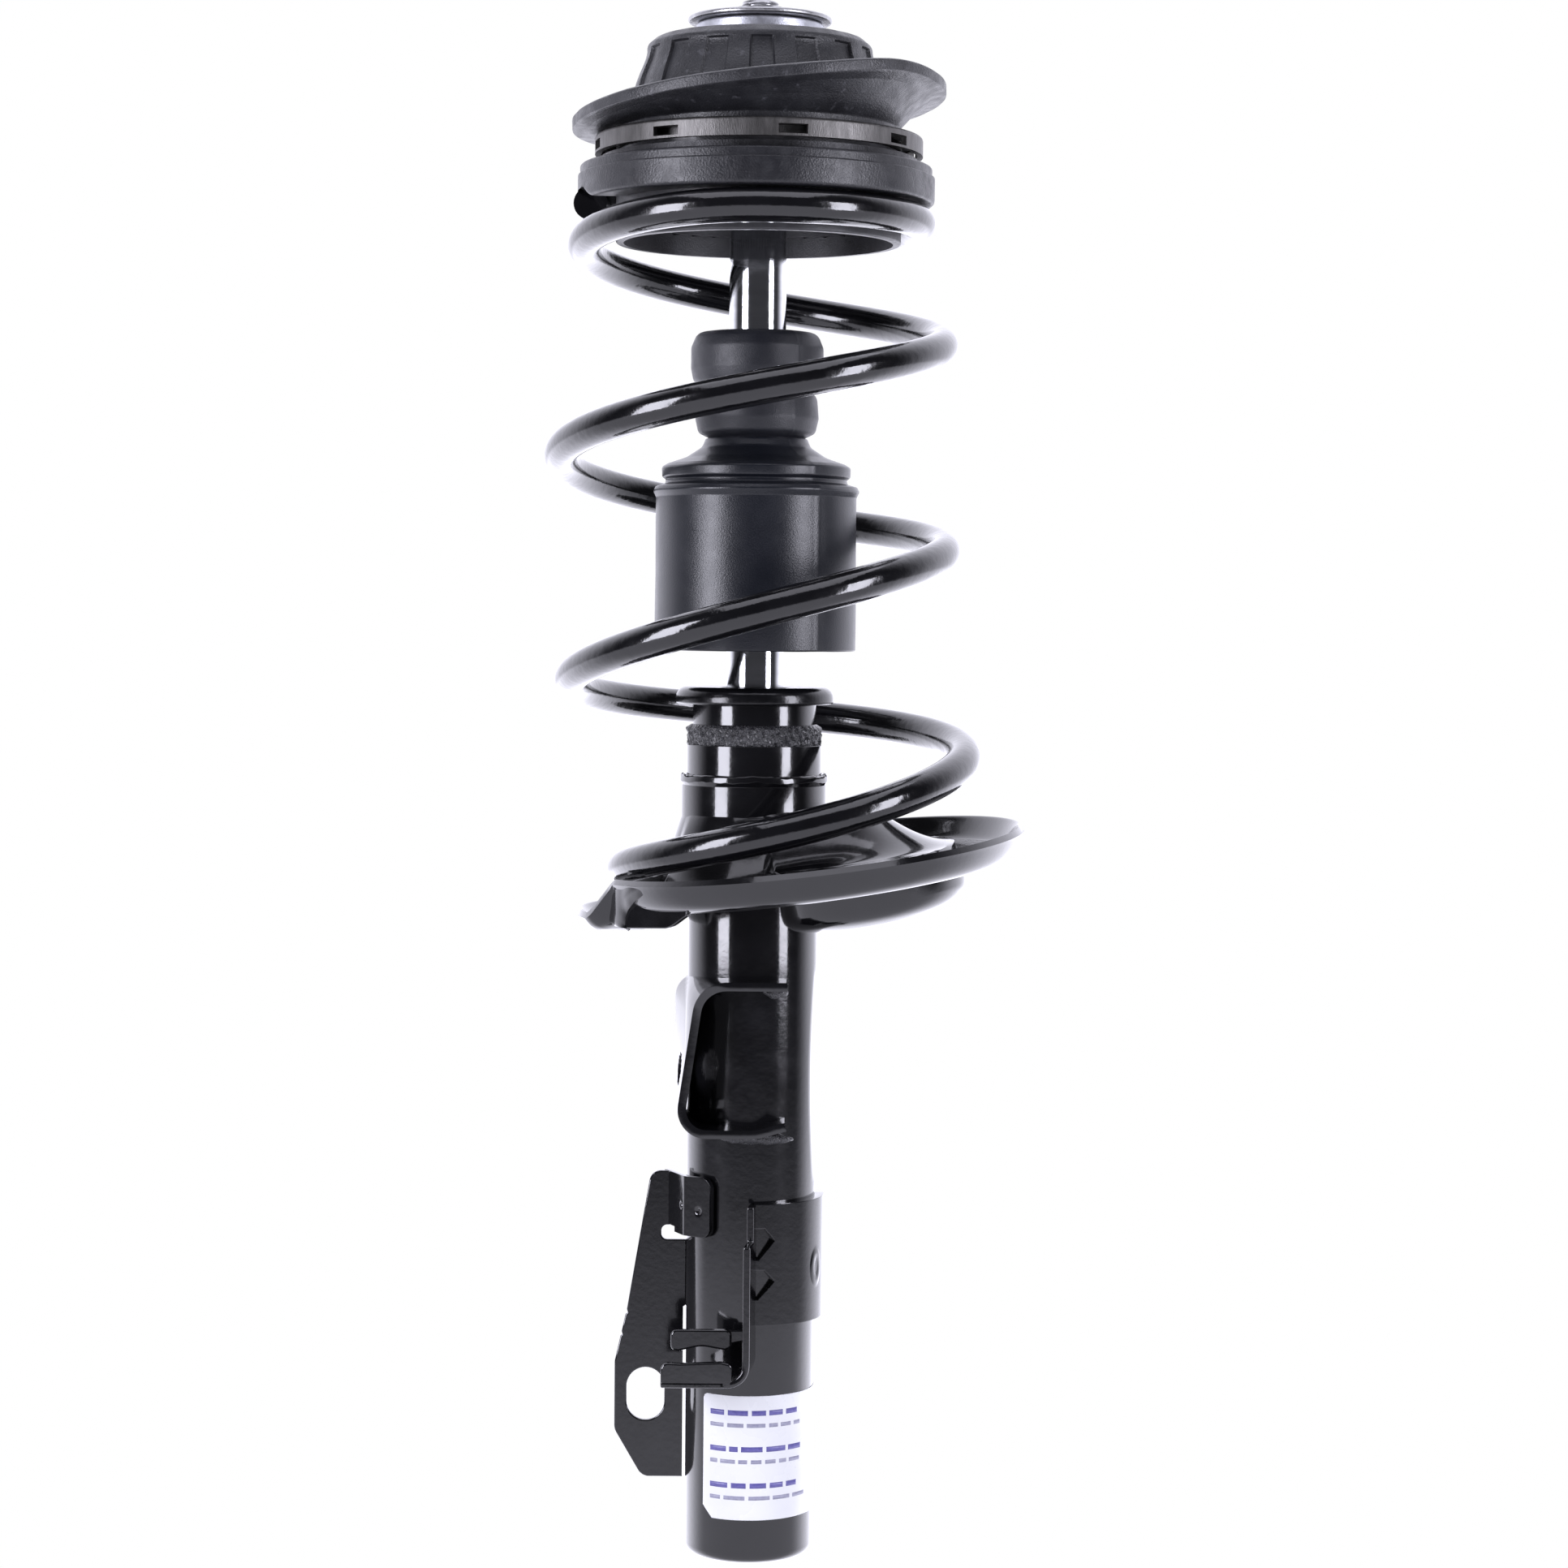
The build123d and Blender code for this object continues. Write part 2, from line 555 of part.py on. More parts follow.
def link_section(upper, lower, y):
    """C-shaped section of the link bracket at a depth, from the X of its web's top and bottom corners."""
    t = LINK_PLATE
    outer = [(LINK_RIGHT, LINK_TOP), (upper, LINK_TOP), (lower, LINK_BOTTOM), (LINK_RIGHT, LINK_BOTTOM)]
    inner = [(LINK_RIGHT, LINK_BOTTOM + t), (lower + t, LINK_BOTTOM + t), (upper + t, LINK_TOP - t),
             (LINK_RIGHT, LINK_TOP - t)]
    radii = [0, 13, 11, 0, 0, 8, 10, 0]
    outline = FilletPolyline(*outer, *inner, radius=radii, close=True)
    return Pos(0, y, 0) * make_face(Plane.XZ * outline)


def link_bracket():
    back = link_section(LINK_LEFT, LINK_LEFT, 0)
    front = link_section(LINK_FRONT_TOP_LEFT, LINK_FRONT_BOTTOM_LEFT, -LINK_REACH)
    shell = loft([back, front])
    hole = Pos(-28, LINK_HOLE_Y, LINK_HOLE_Z) * Rot(0, 90, 0) * Cylinder(LINK_HOLE_R, 24)
    return shell - rod_shape(TUBE_R, 100, 280) - hole


def side_plate():
    edge = FilletPolyline((-26.4, 28.6), (-41.5, 28.6), (-52.3, 47.0), (-52.3, 73.7), (-47.9, 93.2),
                          (-38.6, 148.4), (-25.0, 144.6), (-25.0, 96.0), (-26.4, 95.0),
                          radius=[0, 5, 6, 10, 0, 6, 0, 0, 0], close=True)
    plate = pressed(edge, SIDE_PLATE)
    slot = Plane.XZ * Pos(SLOT_X, SLOT_Z) * SlotOverall(SLOT_LENGTH, SLOT_WIDTH, rotation=90)
    plate -= extrude(slot, amount=10, both=True)
    tab = sector(TUBE_R + SIDE_PLATE, TUBE_R, 121.5, 144.5, 181.0, 236.5)
    relief = Pos(-29.5, 0, 124.0) * Rot(90, 0, 0) * Cylinder(2.8, 12)
    relief += block((-29.5, -20), (-8, 6), (121.2, 126.8))
    return plate + tab - relief - rod_shape(TUBE_R, 0, 200)


def clip_jaw():
    """Tongue of the hose clip, with the toothed web that ties it to the fin."""
    y_range = (-32.0, -29.3)
    jaw = block((-30.0, 0.5), y_range, (82.5, 92.0))
    for foot in (83.0, 88.0):
        tooth = Polyline((-5.6, foot), (-1.4, foot), (-1.4, foot + 4.4), close=True)
        jaw -= pressed(tooth, 6, y_range[1] + 1)
    return jaw


def hose_bracket():
    band = sector(BAND_R, TUBE_R, BAND_BOTTOM, BAND_TOP, -88.0, 6.0)
    for low, high in ((102.5, 112.5), (118.5, 129.0)):
        band -= sector(BAND_R + 2, TUBE_R - 1, low, high, -83.0, -69.0)
    oval = Rot(0, 0, -26) * Pos(BAND_R, 0, 113) * Rot(0, 90, 0) * SlotOverall(11, 5)
    band -= extrude(oval, amount=10, both=True)
    y_far = -FIN_REACH
    y_near = -TUBE_R
    outer = FilletPolyline((FIN, BAND_TOP), (FIN, SHELF_BOTTOM), (SHELF_LEFT, SHELF_BOTTOM),
                           (SHELF_LEFT, SHELF_BOTTOM + FIN), (0, SHELF_BOTTOM + FIN), (0, BAND_TOP),
                           radius=[0, 8, 0, 0, 5.3, 0], close=True)
    strip = pressed(outer, FIN_REACH - TUBE_R, y_near)
    lip = block((SHELF_LEFT, -7.0), (y_far, y_far + FIN), (SHELF_BOTTOM, SHELF_BOTTOM + 8.8))
    return band + strip + lip + clip_jaw() - rod_shape(TUBE_R, 0, 200)


def label():
    return sector(TUBE_R + LABEL_THICKNESS, TUBE_R, LABEL_BOTTOM, LABEL_TOP, -132.0, 12.0)


PARTS = (strut_tube, base_plug, base_valve, base_valve_discs, inner_cylinder, rod_guide, guide_bush, rod_seal,
         piston_rod, piston, piston_ring, piston_discs, piston_nut, rebound_stop, rebound_cushion, sleeve,
         sleeve_weld, bump_cap, seat_collar, lower_seat, lower_pad, seat_support, coil_spring, upper_seat,
         upper_isolator, bearing_lower_race, bearing_balls, ball_cage, bearing_case, mount_rubber,
         mount_plate, mount_core, mount_collar, rebound_washer, top_nut, bump_stop, dust_boot, link_bracket,
         side_plate, hose_bracket, label)

os.makedirs("parts", exist_ok=True)
for make in PARTS:
    export_step(make(), f"parts/{make.__name__}.step")
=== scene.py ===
import random
from math import atan2, cos, degrees, exp, hypot, pi, radians, sin, tan

import bmesh
import bpy
from mathutils import Matrix, Vector
from mathutils.noise import noise


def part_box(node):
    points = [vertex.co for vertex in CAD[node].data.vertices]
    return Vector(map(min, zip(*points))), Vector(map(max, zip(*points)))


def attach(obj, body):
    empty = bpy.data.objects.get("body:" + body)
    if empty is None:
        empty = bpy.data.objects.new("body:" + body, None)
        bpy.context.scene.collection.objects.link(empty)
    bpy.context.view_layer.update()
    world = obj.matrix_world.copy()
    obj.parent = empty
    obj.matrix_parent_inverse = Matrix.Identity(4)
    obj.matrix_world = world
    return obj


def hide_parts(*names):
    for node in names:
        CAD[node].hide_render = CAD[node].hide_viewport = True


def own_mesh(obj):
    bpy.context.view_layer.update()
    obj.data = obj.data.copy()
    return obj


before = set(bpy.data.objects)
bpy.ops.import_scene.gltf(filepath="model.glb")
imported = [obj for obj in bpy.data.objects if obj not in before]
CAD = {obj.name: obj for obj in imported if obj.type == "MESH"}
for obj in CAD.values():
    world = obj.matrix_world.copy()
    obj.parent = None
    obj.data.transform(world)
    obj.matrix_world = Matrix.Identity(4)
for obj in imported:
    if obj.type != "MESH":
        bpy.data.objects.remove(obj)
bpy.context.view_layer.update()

MM = 0.001
scene = bpy.context.scene


# Helpers: numbers

def ease(low, high, value):
    """Smooth step from 0 at low to 1 at high."""
    t = min(1.0, max(0.0, (value - low) / (high - low)))
    return t * t * (3 - 2 * t)


def along(stations, place):
    """Value at a place on a smooth curve through (place, value) stations."""
    last = len(stations) - 1
    index = next((i for i in range(last) if place <= stations[i + 1][0]), last - 1)
    (start, low), (end, high) = stations[index], stations[index + 1]

    def slope(i):
        if i in (0, last):
            return 0.0
        before, here, after = stations[i - 1:i + 2]
        left = (here[1] - before[1]) / (here[0] - before[0])
        right = (after[1] - here[1]) / (after[0] - here[0])
        return 0.0 if left * right <= 0 else 2 * left * right / (left + right)

    span = end - start
    t = (place - start) / span
    rise = (1 + 2 * t) * (1 - t) ** 2 * low + t * t * (3 - 2 * t) * high
    return rise + span * (t * (1 - t) ** 2 * slope(index) - t * t * (1 - t) * slope(index + 1))


def spread(low, high, count):
    """Evenly spaced values, both ends included."""
    return [low + (high - low) * i / (count - 1) for i in range(count)]


def rumple(point, size, amount):
    """Smooth random displacement of a point, up to an amount, over a size."""
    p = Vector(point) / size
    return Vector((noise(p), noise(p + Vector((31, 7, 3))), noise(p + Vector((5, 43, 17))))) * amount


# Helpers: meshes

def rounded(corners, cuts=5, closed=True):
    """Outline of points from corners (x, y) or (x, y, rounding), in the same unit."""
    points = []
    count = len(corners)
    for i, corner in enumerate(corners):
        here = Vector(corner[:2])
        radius = corner[2] if len(corner) > 2 else 0
        if not radius or (not closed and i in (0, count - 1)):
            points.append(here)
            continue
        back = (Vector(corners[i - 1][:2]) - here).normalized()
        on = (Vector(corners[(i + 1) % count][:2]) - here).normalized()
        half = back.angle(on) / 2
        centre = here + (back + on).normalized() * radius / sin(half)
        first = here + back * radius / tan(half) - centre
        last = here + on * radius / tan(half) - centre
        points += [centre + first.slerp(last, k / cuts).normalized() * radius for k in range(cuts + 1)]
    return points


def resampled(points, count):
    """The same line with its points evenly spaced."""
    lengths = [0.0]
    for a, b in zip(points, points[1:]):
        lengths.append(lengths[-1] + (b - a).length)
    found = []
    for target in spread(0, lengths[-1], count):
        i = max(k for k in range(len(points) - 1) if lengths[k] <= target + 1e-9)
        found.append(points[i].lerp(points[i + 1], (target - lengths[i]) / (lengths[i + 1] - lengths[i])))
    return found


def make_mesh(name, points, faces, sharp=32):
    """Mesh object with smooth faces, whose edges steeper than an angle stay crisp."""
    mesh = bpy.data.meshes.new(name)
    mesh.from_pydata([tuple(p) for p in points], [], faces)
    mesh.validate()
    for polygon in mesh.polygons:
        polygon.use_smooth = True
    mesh.set_sharp_from_angle(angle=radians(sharp))
    piece = bpy.data.objects.new(name, mesh)
    scene.collection.objects.link(piece)
    return piece


def fix_normals(piece):
    """Make all faces of a closed mesh point outwards."""
    work = bmesh.new()
    work.from_mesh(piece.data)
    bmesh.ops.recalc_face_normals(work, faces=work.faces)
    work.to_mesh(piece.data)
    work.free()


def lathe(name, corners, steps=160, shape=None, sharp=32):
    """Closed outline of (radius, height, rounding) in mm, turned about Z; shape moves each point."""
    outline = rounded(corners)
    points = []
    for i in range(steps):
        angle = 2 * pi * i / steps
        for r, z in outline:
            point = Vector((r * cos(angle), r * sin(angle), z))
            points.append((shape(point, r, z, angle) if shape else point) * MM)
    count = len(outline)
    faces = []
    for i in range(steps):
        here = i * count
        there = (i + 1) % steps * count
        for k in range(count):
            on = (k + 1) % count
            faces.append((here + k, there + k, there + on, here + on))
    piece = make_mesh(name, points, faces, sharp)
    fix_normals(piece)
    return piece


def sheet(name, us, vs, place, thickness, keep=None, bevel=0.3, offset=1.0, wrap=False):
    """Plate on a grid of parameters: place(u, v) in mm gives its surface, and keep(u, v) its faces."""
    points = [place(u, v) * MM for u in us for v in vs]
    rows = len(us) if wrap else len(us) - 1
    columns = len(vs)
    faces = []
    for i in range(rows):
        there = (i + 1) % len(us)
        for k in range(columns - 1):
            middle = ((us[i] + us[there]) / 2, (vs[k] + vs[k + 1]) / 2)
            if keep is None or keep(*middle):
                here, over = i * columns + k, there * columns + k
                faces.append((here, over, over + 1, here + 1))
    piece = make_mesh(name, points, faces, 180)
    drop_loose(piece)
    solid = piece.modifiers.new("thickness", "SOLIDIFY")
    solid.thickness = thickness * MM
    solid.offset = offset
    solid.use_even_offset = True
    if bevel:
        round_edges(piece, bevel)
    return piece


def drop_loose(piece):
    """Remove the points that no face uses."""
    work = bmesh.new()
    work.from_mesh(piece.data)
    loose = [v for v in work.verts if not v.link_faces]
    bmesh.ops.delete(work, geom=loose, context="VERTS")
    work.to_mesh(piece.data)
    work.free()


def round_edges(piece, width):
    """Bevel the piece's crisp edges by a width in mm."""
    edge = piece.modifiers.new("rounding", "BEVEL")
    edge.width = width * MM
    edge.segments = 3
    edge.limit_method = "ANGLE"
    edge.angle_limit = radians(40)


def plate(name, outline, holes, thickness, bevel=0.35):
    """Flat plate in XZ from rounded outlines in mm, centred on y = 0, with holes."""
    curve = bpy.data.curves.new(name, "CURVE")
    curve.dimensions = "2D"
    curve.fill_mode = "BOTH"
    curve.extrude = (thickness / 2 - bevel) * MM
    curve.bevel_depth = bevel * MM
    curve.bevel_resolution = 2
    curve.offset = -bevel * MM
    for ring in [outline] + holes:
        points = rounded(ring, 10)
        spline = curve.splines.new("POLY")
        spline.points.add(len(points) - 1)
        for place, point in zip(spline.points, points):
            place.co = (point.x * MM, point.y * MM, 0, 1)
        spline.use_cyclic_u = True
    helper = bpy.data.objects.new(name + "_outline", curve)
    scene.collection.objects.link(helper)
    bpy.context.view_layer.update()
    mesh = bpy.data.meshes.new_from_object(helper)
    bpy.data.objects.remove(helper)
    mesh.transform(Matrix.Rotation(radians(90), 4, "X"))
    for polygon in mesh.polygons:
        polygon.use_smooth = True
    mesh.set_sharp_from_angle(angle=radians(30))
    piece = bpy.data.objects.new(name, mesh)
    scene.collection.objects.link(piece)
    return piece


def oval(x, z, width, height):
    """Corners of an upright slot with round ends."""
    w, h, r = width / 2, height / 2, width / 2 - 0.01
    return [(x - w, z - h, r), (x + w, z - h, r), (x + w, z + h, r), (x - w, z + h, r)]


def wire_sweep(name, centres, radius, steps=28):
    """Round wire through a list of centres in mm, with flat blunt ends."""
    count = len(centres)
    points = []
    for i, centre in enumerate(centres):
        tangent = (centres[min(i + 1, count - 1)] - centres[max(i - 1, 0)]).normalized()
        side = tangent.cross(Vector((0, 0, 1))).normalized()
        up = side.cross(tangent)
        for k in range(steps):
            angle = 2 * pi * k / steps
            points.append((centre + side * radius * cos(angle) + up * radius * sin(angle)) * MM)
    faces = []
    for i in range(count - 1):
        for k in range(steps):
            on = (k + 1) % steps
            faces.append((i * steps + k, i * steps + on, (i + 1) * steps + on, (i + 1) * steps + k))
    faces.append(tuple(range(steps)))
    faces.append(tuple(range((count - 1) * steps, count * steps)))
    piece = make_mesh(name, points, faces, 50)
    fix_normals(piece)
    return piece


def blob(name, centre, size, seed):
    """Lumpy bead of weld metal in mm."""
    rings, steps = 14, 22
    points = []
    for i in range(rings + 1):
        tilt = pi * i / rings
        for k in range(steps):
            angle = 2 * pi * k / steps
            ball = Vector((sin(tilt) * cos(angle), sin(tilt) * sin(angle), cos(tilt)))
            point = ball * Vector(size)
            point += rumple(point + Vector((seed, 0, 0)), 2.2, 0.6)
            points.append((Vector(centre) + point) * MM)
    faces = []
    for i in range(rings):
        for k in range(steps):
            on = (k + 1) % steps
            faces.append((i * steps + k, i * steps + on, (i + 1) * steps + on, (i + 1) * steps + k))
    piece = make_mesh(name, points, faces, 180)
    work = bmesh.new()
    work.from_mesh(piece.data)
    bmesh.ops.remove_doubles(work, verts=work.verts, dist=0.35 * MM)
    work.to_mesh(piece.data)
    work.free()
    fix_normals(piece)
    return piece


# Helpers: materials

def node(tree, kind, **inputs):
    """New shader node with some of its inputs set."""
    made = tree.nodes.new(kind)
    for key, value in inputs.items():
        made.inputs[key.replace("_", " ")].default_value = value
    return made


def noise_map(tree, where, scale, low, high, detail=4.0, stretch=None):
    """Noise as a value between two limits, over object coordinates."""
    source = where
    if stretch:
        mapping = node(tree, "ShaderNodeMapping", Scale=stretch)
        tree.links.new(where, mapping.inputs["Vector"])
        source = mapping.outputs["Vector"]
    texture = node(tree, "ShaderNodeTexNoise", Scale=scale, Detail=detail)
    tree.links.new(source, texture.inputs["Vector"])
    limits = node(tree, "ShaderNodeMapRange")
    limits.inputs["From Min"].default_value = 0.3
    limits.inputs["From Max"].default_value = 0.7
    limits.inputs["To Min"].default_value = low
    limits.inputs["To Max"].default_value = high
    tree.links.new(texture.outputs["Fac"], limits.inputs["Value"])
    return limits.outputs["Result"]


def blend_colour(tree, share, first, second):
    """Mix of two colours by a share; either colour may be a socket."""
    mix = tree.nodes.new("ShaderNodeMix")
    mix.data_type = "RGBA"
    tree.links.new(share, mix.inputs[0])
    for socket, value in ((mix.inputs[6], first), (mix.inputs[7], second)):
        if isinstance(value, tuple):
            socket.default_value = (*value, 1)
        else:
            tree.links.new(value, socket)
    return mix.outputs[2]


def material(name, dark, light, rough, metallic=0.0, coat=0.0, mottle=60, grain=(1500, 0.03), stretch=None,
             scuff=None, specular=0.5, coat_rough=0.04):
    """Procedural finish: mottled colour, uneven roughness, fine grain, and optional pale scuffs."""
    made = bpy.data.materials.new(name)
    made.use_nodes = True
    tree = made.node_tree
    shader = tree.nodes["Principled BSDF"]
    shader.inputs["Metallic"].default_value = metallic
    shader.inputs["Coat Weight"].default_value = coat
    shader.inputs["Coat Roughness"].default_value = coat_rough
    shader.inputs["Specular IOR Level"].default_value = specular
    where = tree.nodes.new("ShaderNodeTexCoord").outputs["Object"]
    colour = blend_colour(tree, noise_map(tree, where, mottle, 0, 1, 6, stretch), dark, light)
    roughness = noise_map(tree, where, mottle * 2.3, rough[0], rough[1], 5, stretch)
    if scuff:
        scale, start, pale, rougher = scuff
        marks = noise_map(tree, where, scale, 0, 1, 8)
        edge = tree.nodes.new("ShaderNodeMapRange")
        edge.inputs["From Min"].default_value = start
        edge.inputs["From Max"].default_value = start + 0.25
        tree.links.new(marks, edge.inputs["Value"])
        colour = blend_colour(tree, edge.outputs["Result"], colour, pale)
        mix = tree.nodes.new("ShaderNodeMix")
        tree.links.new(edge.outputs["Result"], mix.inputs[0])
        tree.links.new(roughness, mix.inputs[2])
        mix.inputs[3].default_value = rougher
        roughness = mix.outputs[0]
    tree.links.new(colour, shader.inputs["Base Color"])
    tree.links.new(roughness, shader.inputs["Roughness"])
    bump = node(tree, "ShaderNodeBump", Strength=grain[1], Distance=0.0005)
    tree.links.new(noise_map(tree, where, grain[0], 0, 1, 3, stretch), bump.inputs["Height"])
    tree.links.new(bump.outputs["Normal"], shader.inputs["Normal"])
    return made


def place_piece(piece, body, finish, slot, *nodes):
    """Give a piece its finish, ride it on its body and let it stand for CAD nodes."""
    piece.data.materials.clear()
    piece.data.materials.append(finish)
    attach(piece, body)
    if nodes:
        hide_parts(*nodes)


def paint_node(name, finish):
    """Give a CAD node that stays a better finish."""
    piece = CAD[name]
    piece.data.materials.clear()
    piece.data.materials.append(finish)


def disc_size(name):
    """Radius, bottom and top in mm of a round CAD node on the strut's axis."""
    low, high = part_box(name)
    return (high.x - low.x) / 2 / MM, low.z / MM, high.z / MM


# Materials

PAINT = material("gloss_paint", (0.0025, 0.0025, 0.003), (0.005, 0.005, 0.006), (0.10, 0.17), coat=0.5,
                 grain=(420, 0.03))
COIL = material("coil_coating", (0.002, 0.002, 0.0025), (0.004, 0.004, 0.005), (0.10, 0.19), coat=0.4,
                grain=(300, 0.10))
WELD = material("painted_weld", (0.008, 0.008, 0.009), (0.03, 0.03, 0.034), (0.14, 0.34), coat=0.3,
                mottle=700, grain=(1600, 0.6))
CHROME = material("ground_chrome", (0.62, 0.63, 0.65), (0.74, 0.75, 0.77), (0.05, 0.10), metallic=1.0,
                  mottle=30, grain=(2600, 0.02), stretch=(1, 1, 8))
SATIN = material("satin_zinc", (0.30, 0.30, 0.31), (0.42, 0.42, 0.43), (0.26, 0.42), metallic=1.0,
                 mottle=180, grain=(1800, 0.10))
ALLOY = material("cast_alloy", (0.46, 0.47, 0.51), (0.60, 0.61, 0.66), (0.40, 0.52), metallic=0.9,
                 mottle=220, grain=(1500, 0.12))
BEARING = material("bearing_steel", (0.09, 0.088, 0.085), (0.14, 0.136, 0.132), (0.42, 0.52), metallic=1.0,
                   mottle=260, grain=(2200, 0.12), stretch=(1, 1, 0.25))
# Near-black steel for the lower bearing race: painted shade that stands in for the shadowed gap under the
# bearing ring
RACE_SHADE = material("race_painted_shade", (0.012, 0.012, 0.013), (0.03, 0.03, 0.032), (0.35, 0.5),
                     metallic=0.6, mottle=200, grain=(1500, 0.15))
STEEL = material("plain_steel", (0.36, 0.36, 0.36), (0.48, 0.47, 0.46), (0.22, 0.34), metallic=1.0,
                 mottle=240, grain=(2000, 0.08))
IRON = material("sintered_iron", (0.14, 0.135, 0.13), (0.22, 0.21, 0.20), (0.45, 0.6), metallic=1.0,
                mottle=500, grain=(2400, 0.3))
BRONZE = material("bronze", (0.42, 0.28, 0.13), (0.56, 0.38, 0.19), (0.3, 0.42), metallic=1.0, mottle=300)
RUBBER = material("mount_rubber", (0.009, 0.009, 0.011), (0.017, 0.0175, 0.020), (0.34, 0.52),
                  mottle=90, grain=(1300, 0.22), scuff=(260, 0.82, (0.05, 0.05, 0.056), 0.42))
ISOLATOR = material("isolator_rubber", (0.007, 0.007, 0.009), (0.012, 0.0125, 0.015), (0.32, 0.46),
                    mottle=110, grain=(1300, 0.18), scuff=(300, 0.92, (0.05, 0.05, 0.055), 0.45))
SEAL = material("seal_rubber", (0.02, 0.02, 0.02), (0.035, 0.035, 0.035), (0.35, 0.5), mottle=200)
FOAM = material("bumper_foam", (0.007, 0.0075, 0.011), (0.011, 0.012, 0.016), (0.38, 0.5),
                mottle=70, grain=(2200, 0.16))
BOOT = material("boot_rubber", (0.004, 0.005, 0.008), (0.007, 0.008, 0.012), (0.29, 0.35),
                mottle=50, grain=(1900, 0.10))
CAP = material("cap_plastic", (0.0025, 0.0025, 0.003), (0.005, 0.005, 0.006), (0.14, 0.24), mottle=120,
               grain=(900, 0.05))
PLASTIC = material("seat_plastic", (0.022, 0.022, 0.024), (0.036, 0.036, 0.039), (0.34, 0.46), mottle=150,
                   grain=(1600, 0.12))
PTFE = material("filled_ptfe", (0.07, 0.06, 0.05), (0.12, 0.10, 0.08), (0.4, 0.55), mottle=300)
FILM = material("label_film", (0.72, 0.73, 0.75), (0.78, 0.79, 0.81), (0.22, 0.34), mottle=40,
                grain=(700, 0.03))
INK = material("label_ink", (0.09, 0.08, 0.28), (0.14, 0.13, 0.38), (0.3, 0.4), mottle=900)
PALE_INK = material("label_pale_ink", (0.26, 0.26, 0.36), (0.34, 0.34, 0.44), (0.3, 0.4), mottle=900)


# Strut tube and what is on it

TUBE_R = 25.0


def dented(limit, low, high, depth):
    """Shape of the tube's shallow dent: flattens the +X side towards a shallow scallop."""
    def shape(point, r, z, angle):
        if low < z < high and r > limit - 1:
            middle = (low + high) / 2
            reach = limit - depth * (1 - ((z - middle) / (high - low) * 2) ** 2)
            over = point.x - reach
            if over > 0:
                point.x = reach - 1.2 * exp(-(over + 1.2) / 1.2)
            elif over > -1.2:
                point.x -= ease(-1.2, 0, over) * 0.35
        return point
    return shape


def strut_tube():
    r, low, high = disc_size("strut_tube")
    plug_r = 14.0
    neck_r = r - 1.1
    ladder = [(r, z) for z in spread(140, 232, 40)]
    corners = [(plug_r, low, 0.2), (r, low, 4.0)] + ladder + [
        (r, 314), (neck_r, 322), (neck_r, high, 1.6), (18, high, 0.4), (18, high - 1.8), (r - 2.2, 300),
        (r - 2.2, low + 2.2, 2.0), (plug_r, low + 2.2)]
    piece = lathe("tube_shell", corners, 192, dented(r, 145, 227, 1.8))
    place_piece(piece, "strut_body", PAINT, "black_paint", "strut_tube")


def sleeve():
    r, low, high = disc_size("sleeve")
    piece = lathe("sleeve_ring", [(r - 1.1, low), (r, low), (r, high, 0.3), (r - 1.1, high)], 160)
    place_piece(piece, "strut_body", PAINT, "black_paint", "sleeve")


def sleeve_weld():
    r, low, high = disc_size("sleeve_weld")

    def ripple(point, radius, z, angle):
        if radius > r - 1.0:
            away = Vector((cos(angle), sin(angle), 0))
            fold = 0.34 * sin(angle * 52 + 2.5 * sin(angle * 5) + z * 0.9)
            lump = noise(point / 2.4) * 0.75 + noise(point / 0.9) * 0.35
            point += away * (fold + lump - 0.35)
            point.z += 0.35 * noise(point / 2.0) if z < low + 1 or z > high - 2 else 0
        return point

    ladder = [(r - 0.05, z) for z in spread(low + 0.8, high - 1.6, 12)]
    corners = [(r - 1.8, low), (r - 0.2, low, 0.3)] + ladder + [(r - 1.6, high - 0.3, 0.4), (r - 2.6, high)]
    piece = lathe("weld_bead", corners, 420, ripple)
    place_piece(piece, "strut_body", WELD, "weld", "sleeve_weld")


def bump_cap():
    r, low, high = disc_size("bump_cap")
    bore = 13.0
    corners = [(bore, high - 2, 0.3), (bore + 0.6, high - 0.4, 0.5), (r, high, 4.2), (r, low, 0.8),
               (r - 2.2, low, 0.4), (r - 2.4, low + 1.6), (24, low + 1.8), (24, high - 3.4),
               (bore, high - 3.4)]
    piece = lathe("top_cap", corners, 176)
    place_piece(piece, "strut_body", CAP, "cap_plastic", "bump_cap")


def seat_collar():
    r, low, high = disc_size("seat_collar")

    def crimp(point, radius, z, angle):
        if z > high - 3.5 and radius > r - 2:
            point.z += 0.22 * sin(angle * 8 + 1.0) + 0.15 * sin(angle * 3) + 0.4 * noise(point / 3)
        return point

    corners = [(r - 2.4, low - 8), (r - 0.6, low - 8), (r - 0.6, high - 4.2, 0.8), (r, high - 2.6, 0.8),
               (r - 0.3, high, 1.2), (r - 2.2, high, 0.5), (r - 2.4, high - 2)]
    piece = lathe("crimped_collar", corners, 176, crimp)
    place_piece(piece, "strut_body", PAINT, "black_paint", "seat_collar")


# Lower spring seat

PAN_X = 22.0
PAN_Z = 273.2
PAN_R = 81.2
PAN_LEAN_X = tan(radians(7.7))
PAN_LEAN_Y = tan(radians(2.7))
PAN_FLOOR = -7.0
PAN_LIP = 7.0
RIM_RISE = 9.8
GUTTER = 1.8
SWELL = 3.6
POCKET_Z = 246.0
POCKET_SHIFT = 8
POCKET_RISE = 4.4
CONE_TOP = 289.0
COLLAR_INNER = 26.4


def rim_plane(x, y):
    """Height of the plane in which the pan's rim lies."""
    return PAN_Z + (x - PAN_X) * PAN_LEAN_X + y * PAN_LEAN_Y


def pocket_share(angle):
    """1 over the low pocket at -X, 0 on the pan, with an S-shaped step at each end."""
    turn = degrees(angle) % 360
    return ease(108, 118, turn) * (1 - ease(199, 204.5, turn))


